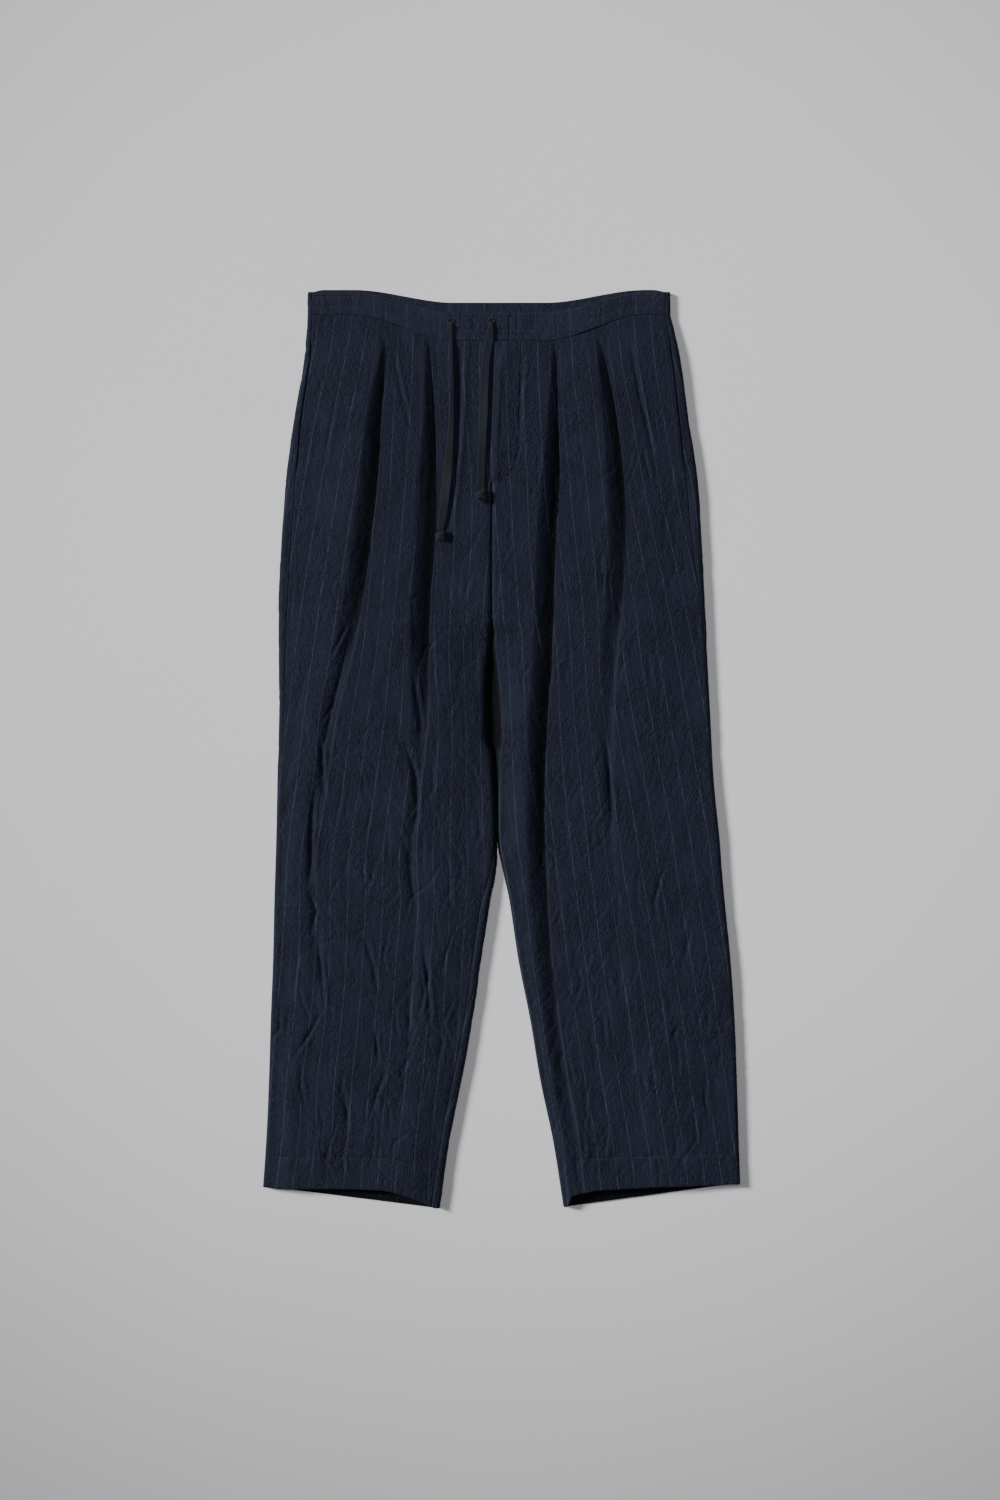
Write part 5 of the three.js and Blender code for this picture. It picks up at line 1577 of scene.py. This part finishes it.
for tape, route, knot in [(tape_right, RIGHT_ROUTE, knot_right), (tape_left, LEFT_ROUTE, knot_left)]:
    route_length(route)


# Floor and light

FLOOR_HALF = 12.0
FLOOR_Z = -0.0002
PAPER = (0.66, 0.66, 0.685)
floor_mesh = bpy.data.meshes.new("floor")
corners = [(-1, -1), (1, -1), (1, 1), (-1, 1)]
floor_mesh.from_pydata([(x * FLOOR_HALF, y * FLOOR_HALF, FLOOR_Z) for x, y in corners], [], [(0, 1, 2, 3)])
floor_mesh.materials.append(floor_paper("floor_paper", PAPER))
floor = bpy.data.objects.new("floor", floor_mesh)
bpy.context.scene.collection.objects.link(floor)


def add_light(kind, name, place, aim, energy, **settings):
    data = bpy.data.lights.new(name, kind)
    data.energy = energy
    for key, value in settings.items():
        setattr(data, key, value)
    light = bpy.data.objects.new(name, data)
    light.location = place
    light.rotation_euler = (Vector(aim) - Vector(place)).to_track_quat("-Z", "Y").to_euler()
    bpy.context.scene.collection.objects.link(light)


SUN_HEIGHT, SUN_TURN, SUN_ANGLE, SUN_STRENGTH = np.radians(31), np.radians(20), np.radians(13), 5.5
SPOT_PLACE, SPOT_AIM, SPOT_POWER, SPOT_ANGLE = (-0.05, 0.3, 3.7), (-0.02, 0.22, 0), 210, np.radians(50)
sun_level = np.cos(SUN_HEIGHT)
sun_place = (-sun_level * np.cos(SUN_TURN), sun_level * np.sin(SUN_TURN), np.sin(SUN_HEIGHT))
add_light("SUN", "window", sun_place, (0, 0, 0), SUN_STRENGTH, angle=SUN_ANGLE)
add_light(
    "SPOT", "overhead", SPOT_PLACE, SPOT_AIM, SPOT_POWER,
    spot_size=SPOT_ANGLE, spot_blend=1.0, shadow_soft_size=0.5,
)

ROOM_COLOUR, ROOM_STRENGTH = opaque(0.95, 0.97, 1.0), 0.05
world = bpy.data.worlds.new("studio")
world.use_nodes = True
background = world.node_tree.nodes["Background"]
background.inputs["Color"].default_value = ROOM_COLOUR
background.inputs["Strength"].default_value = ROOM_STRENGTH
bpy.context.scene.world = world
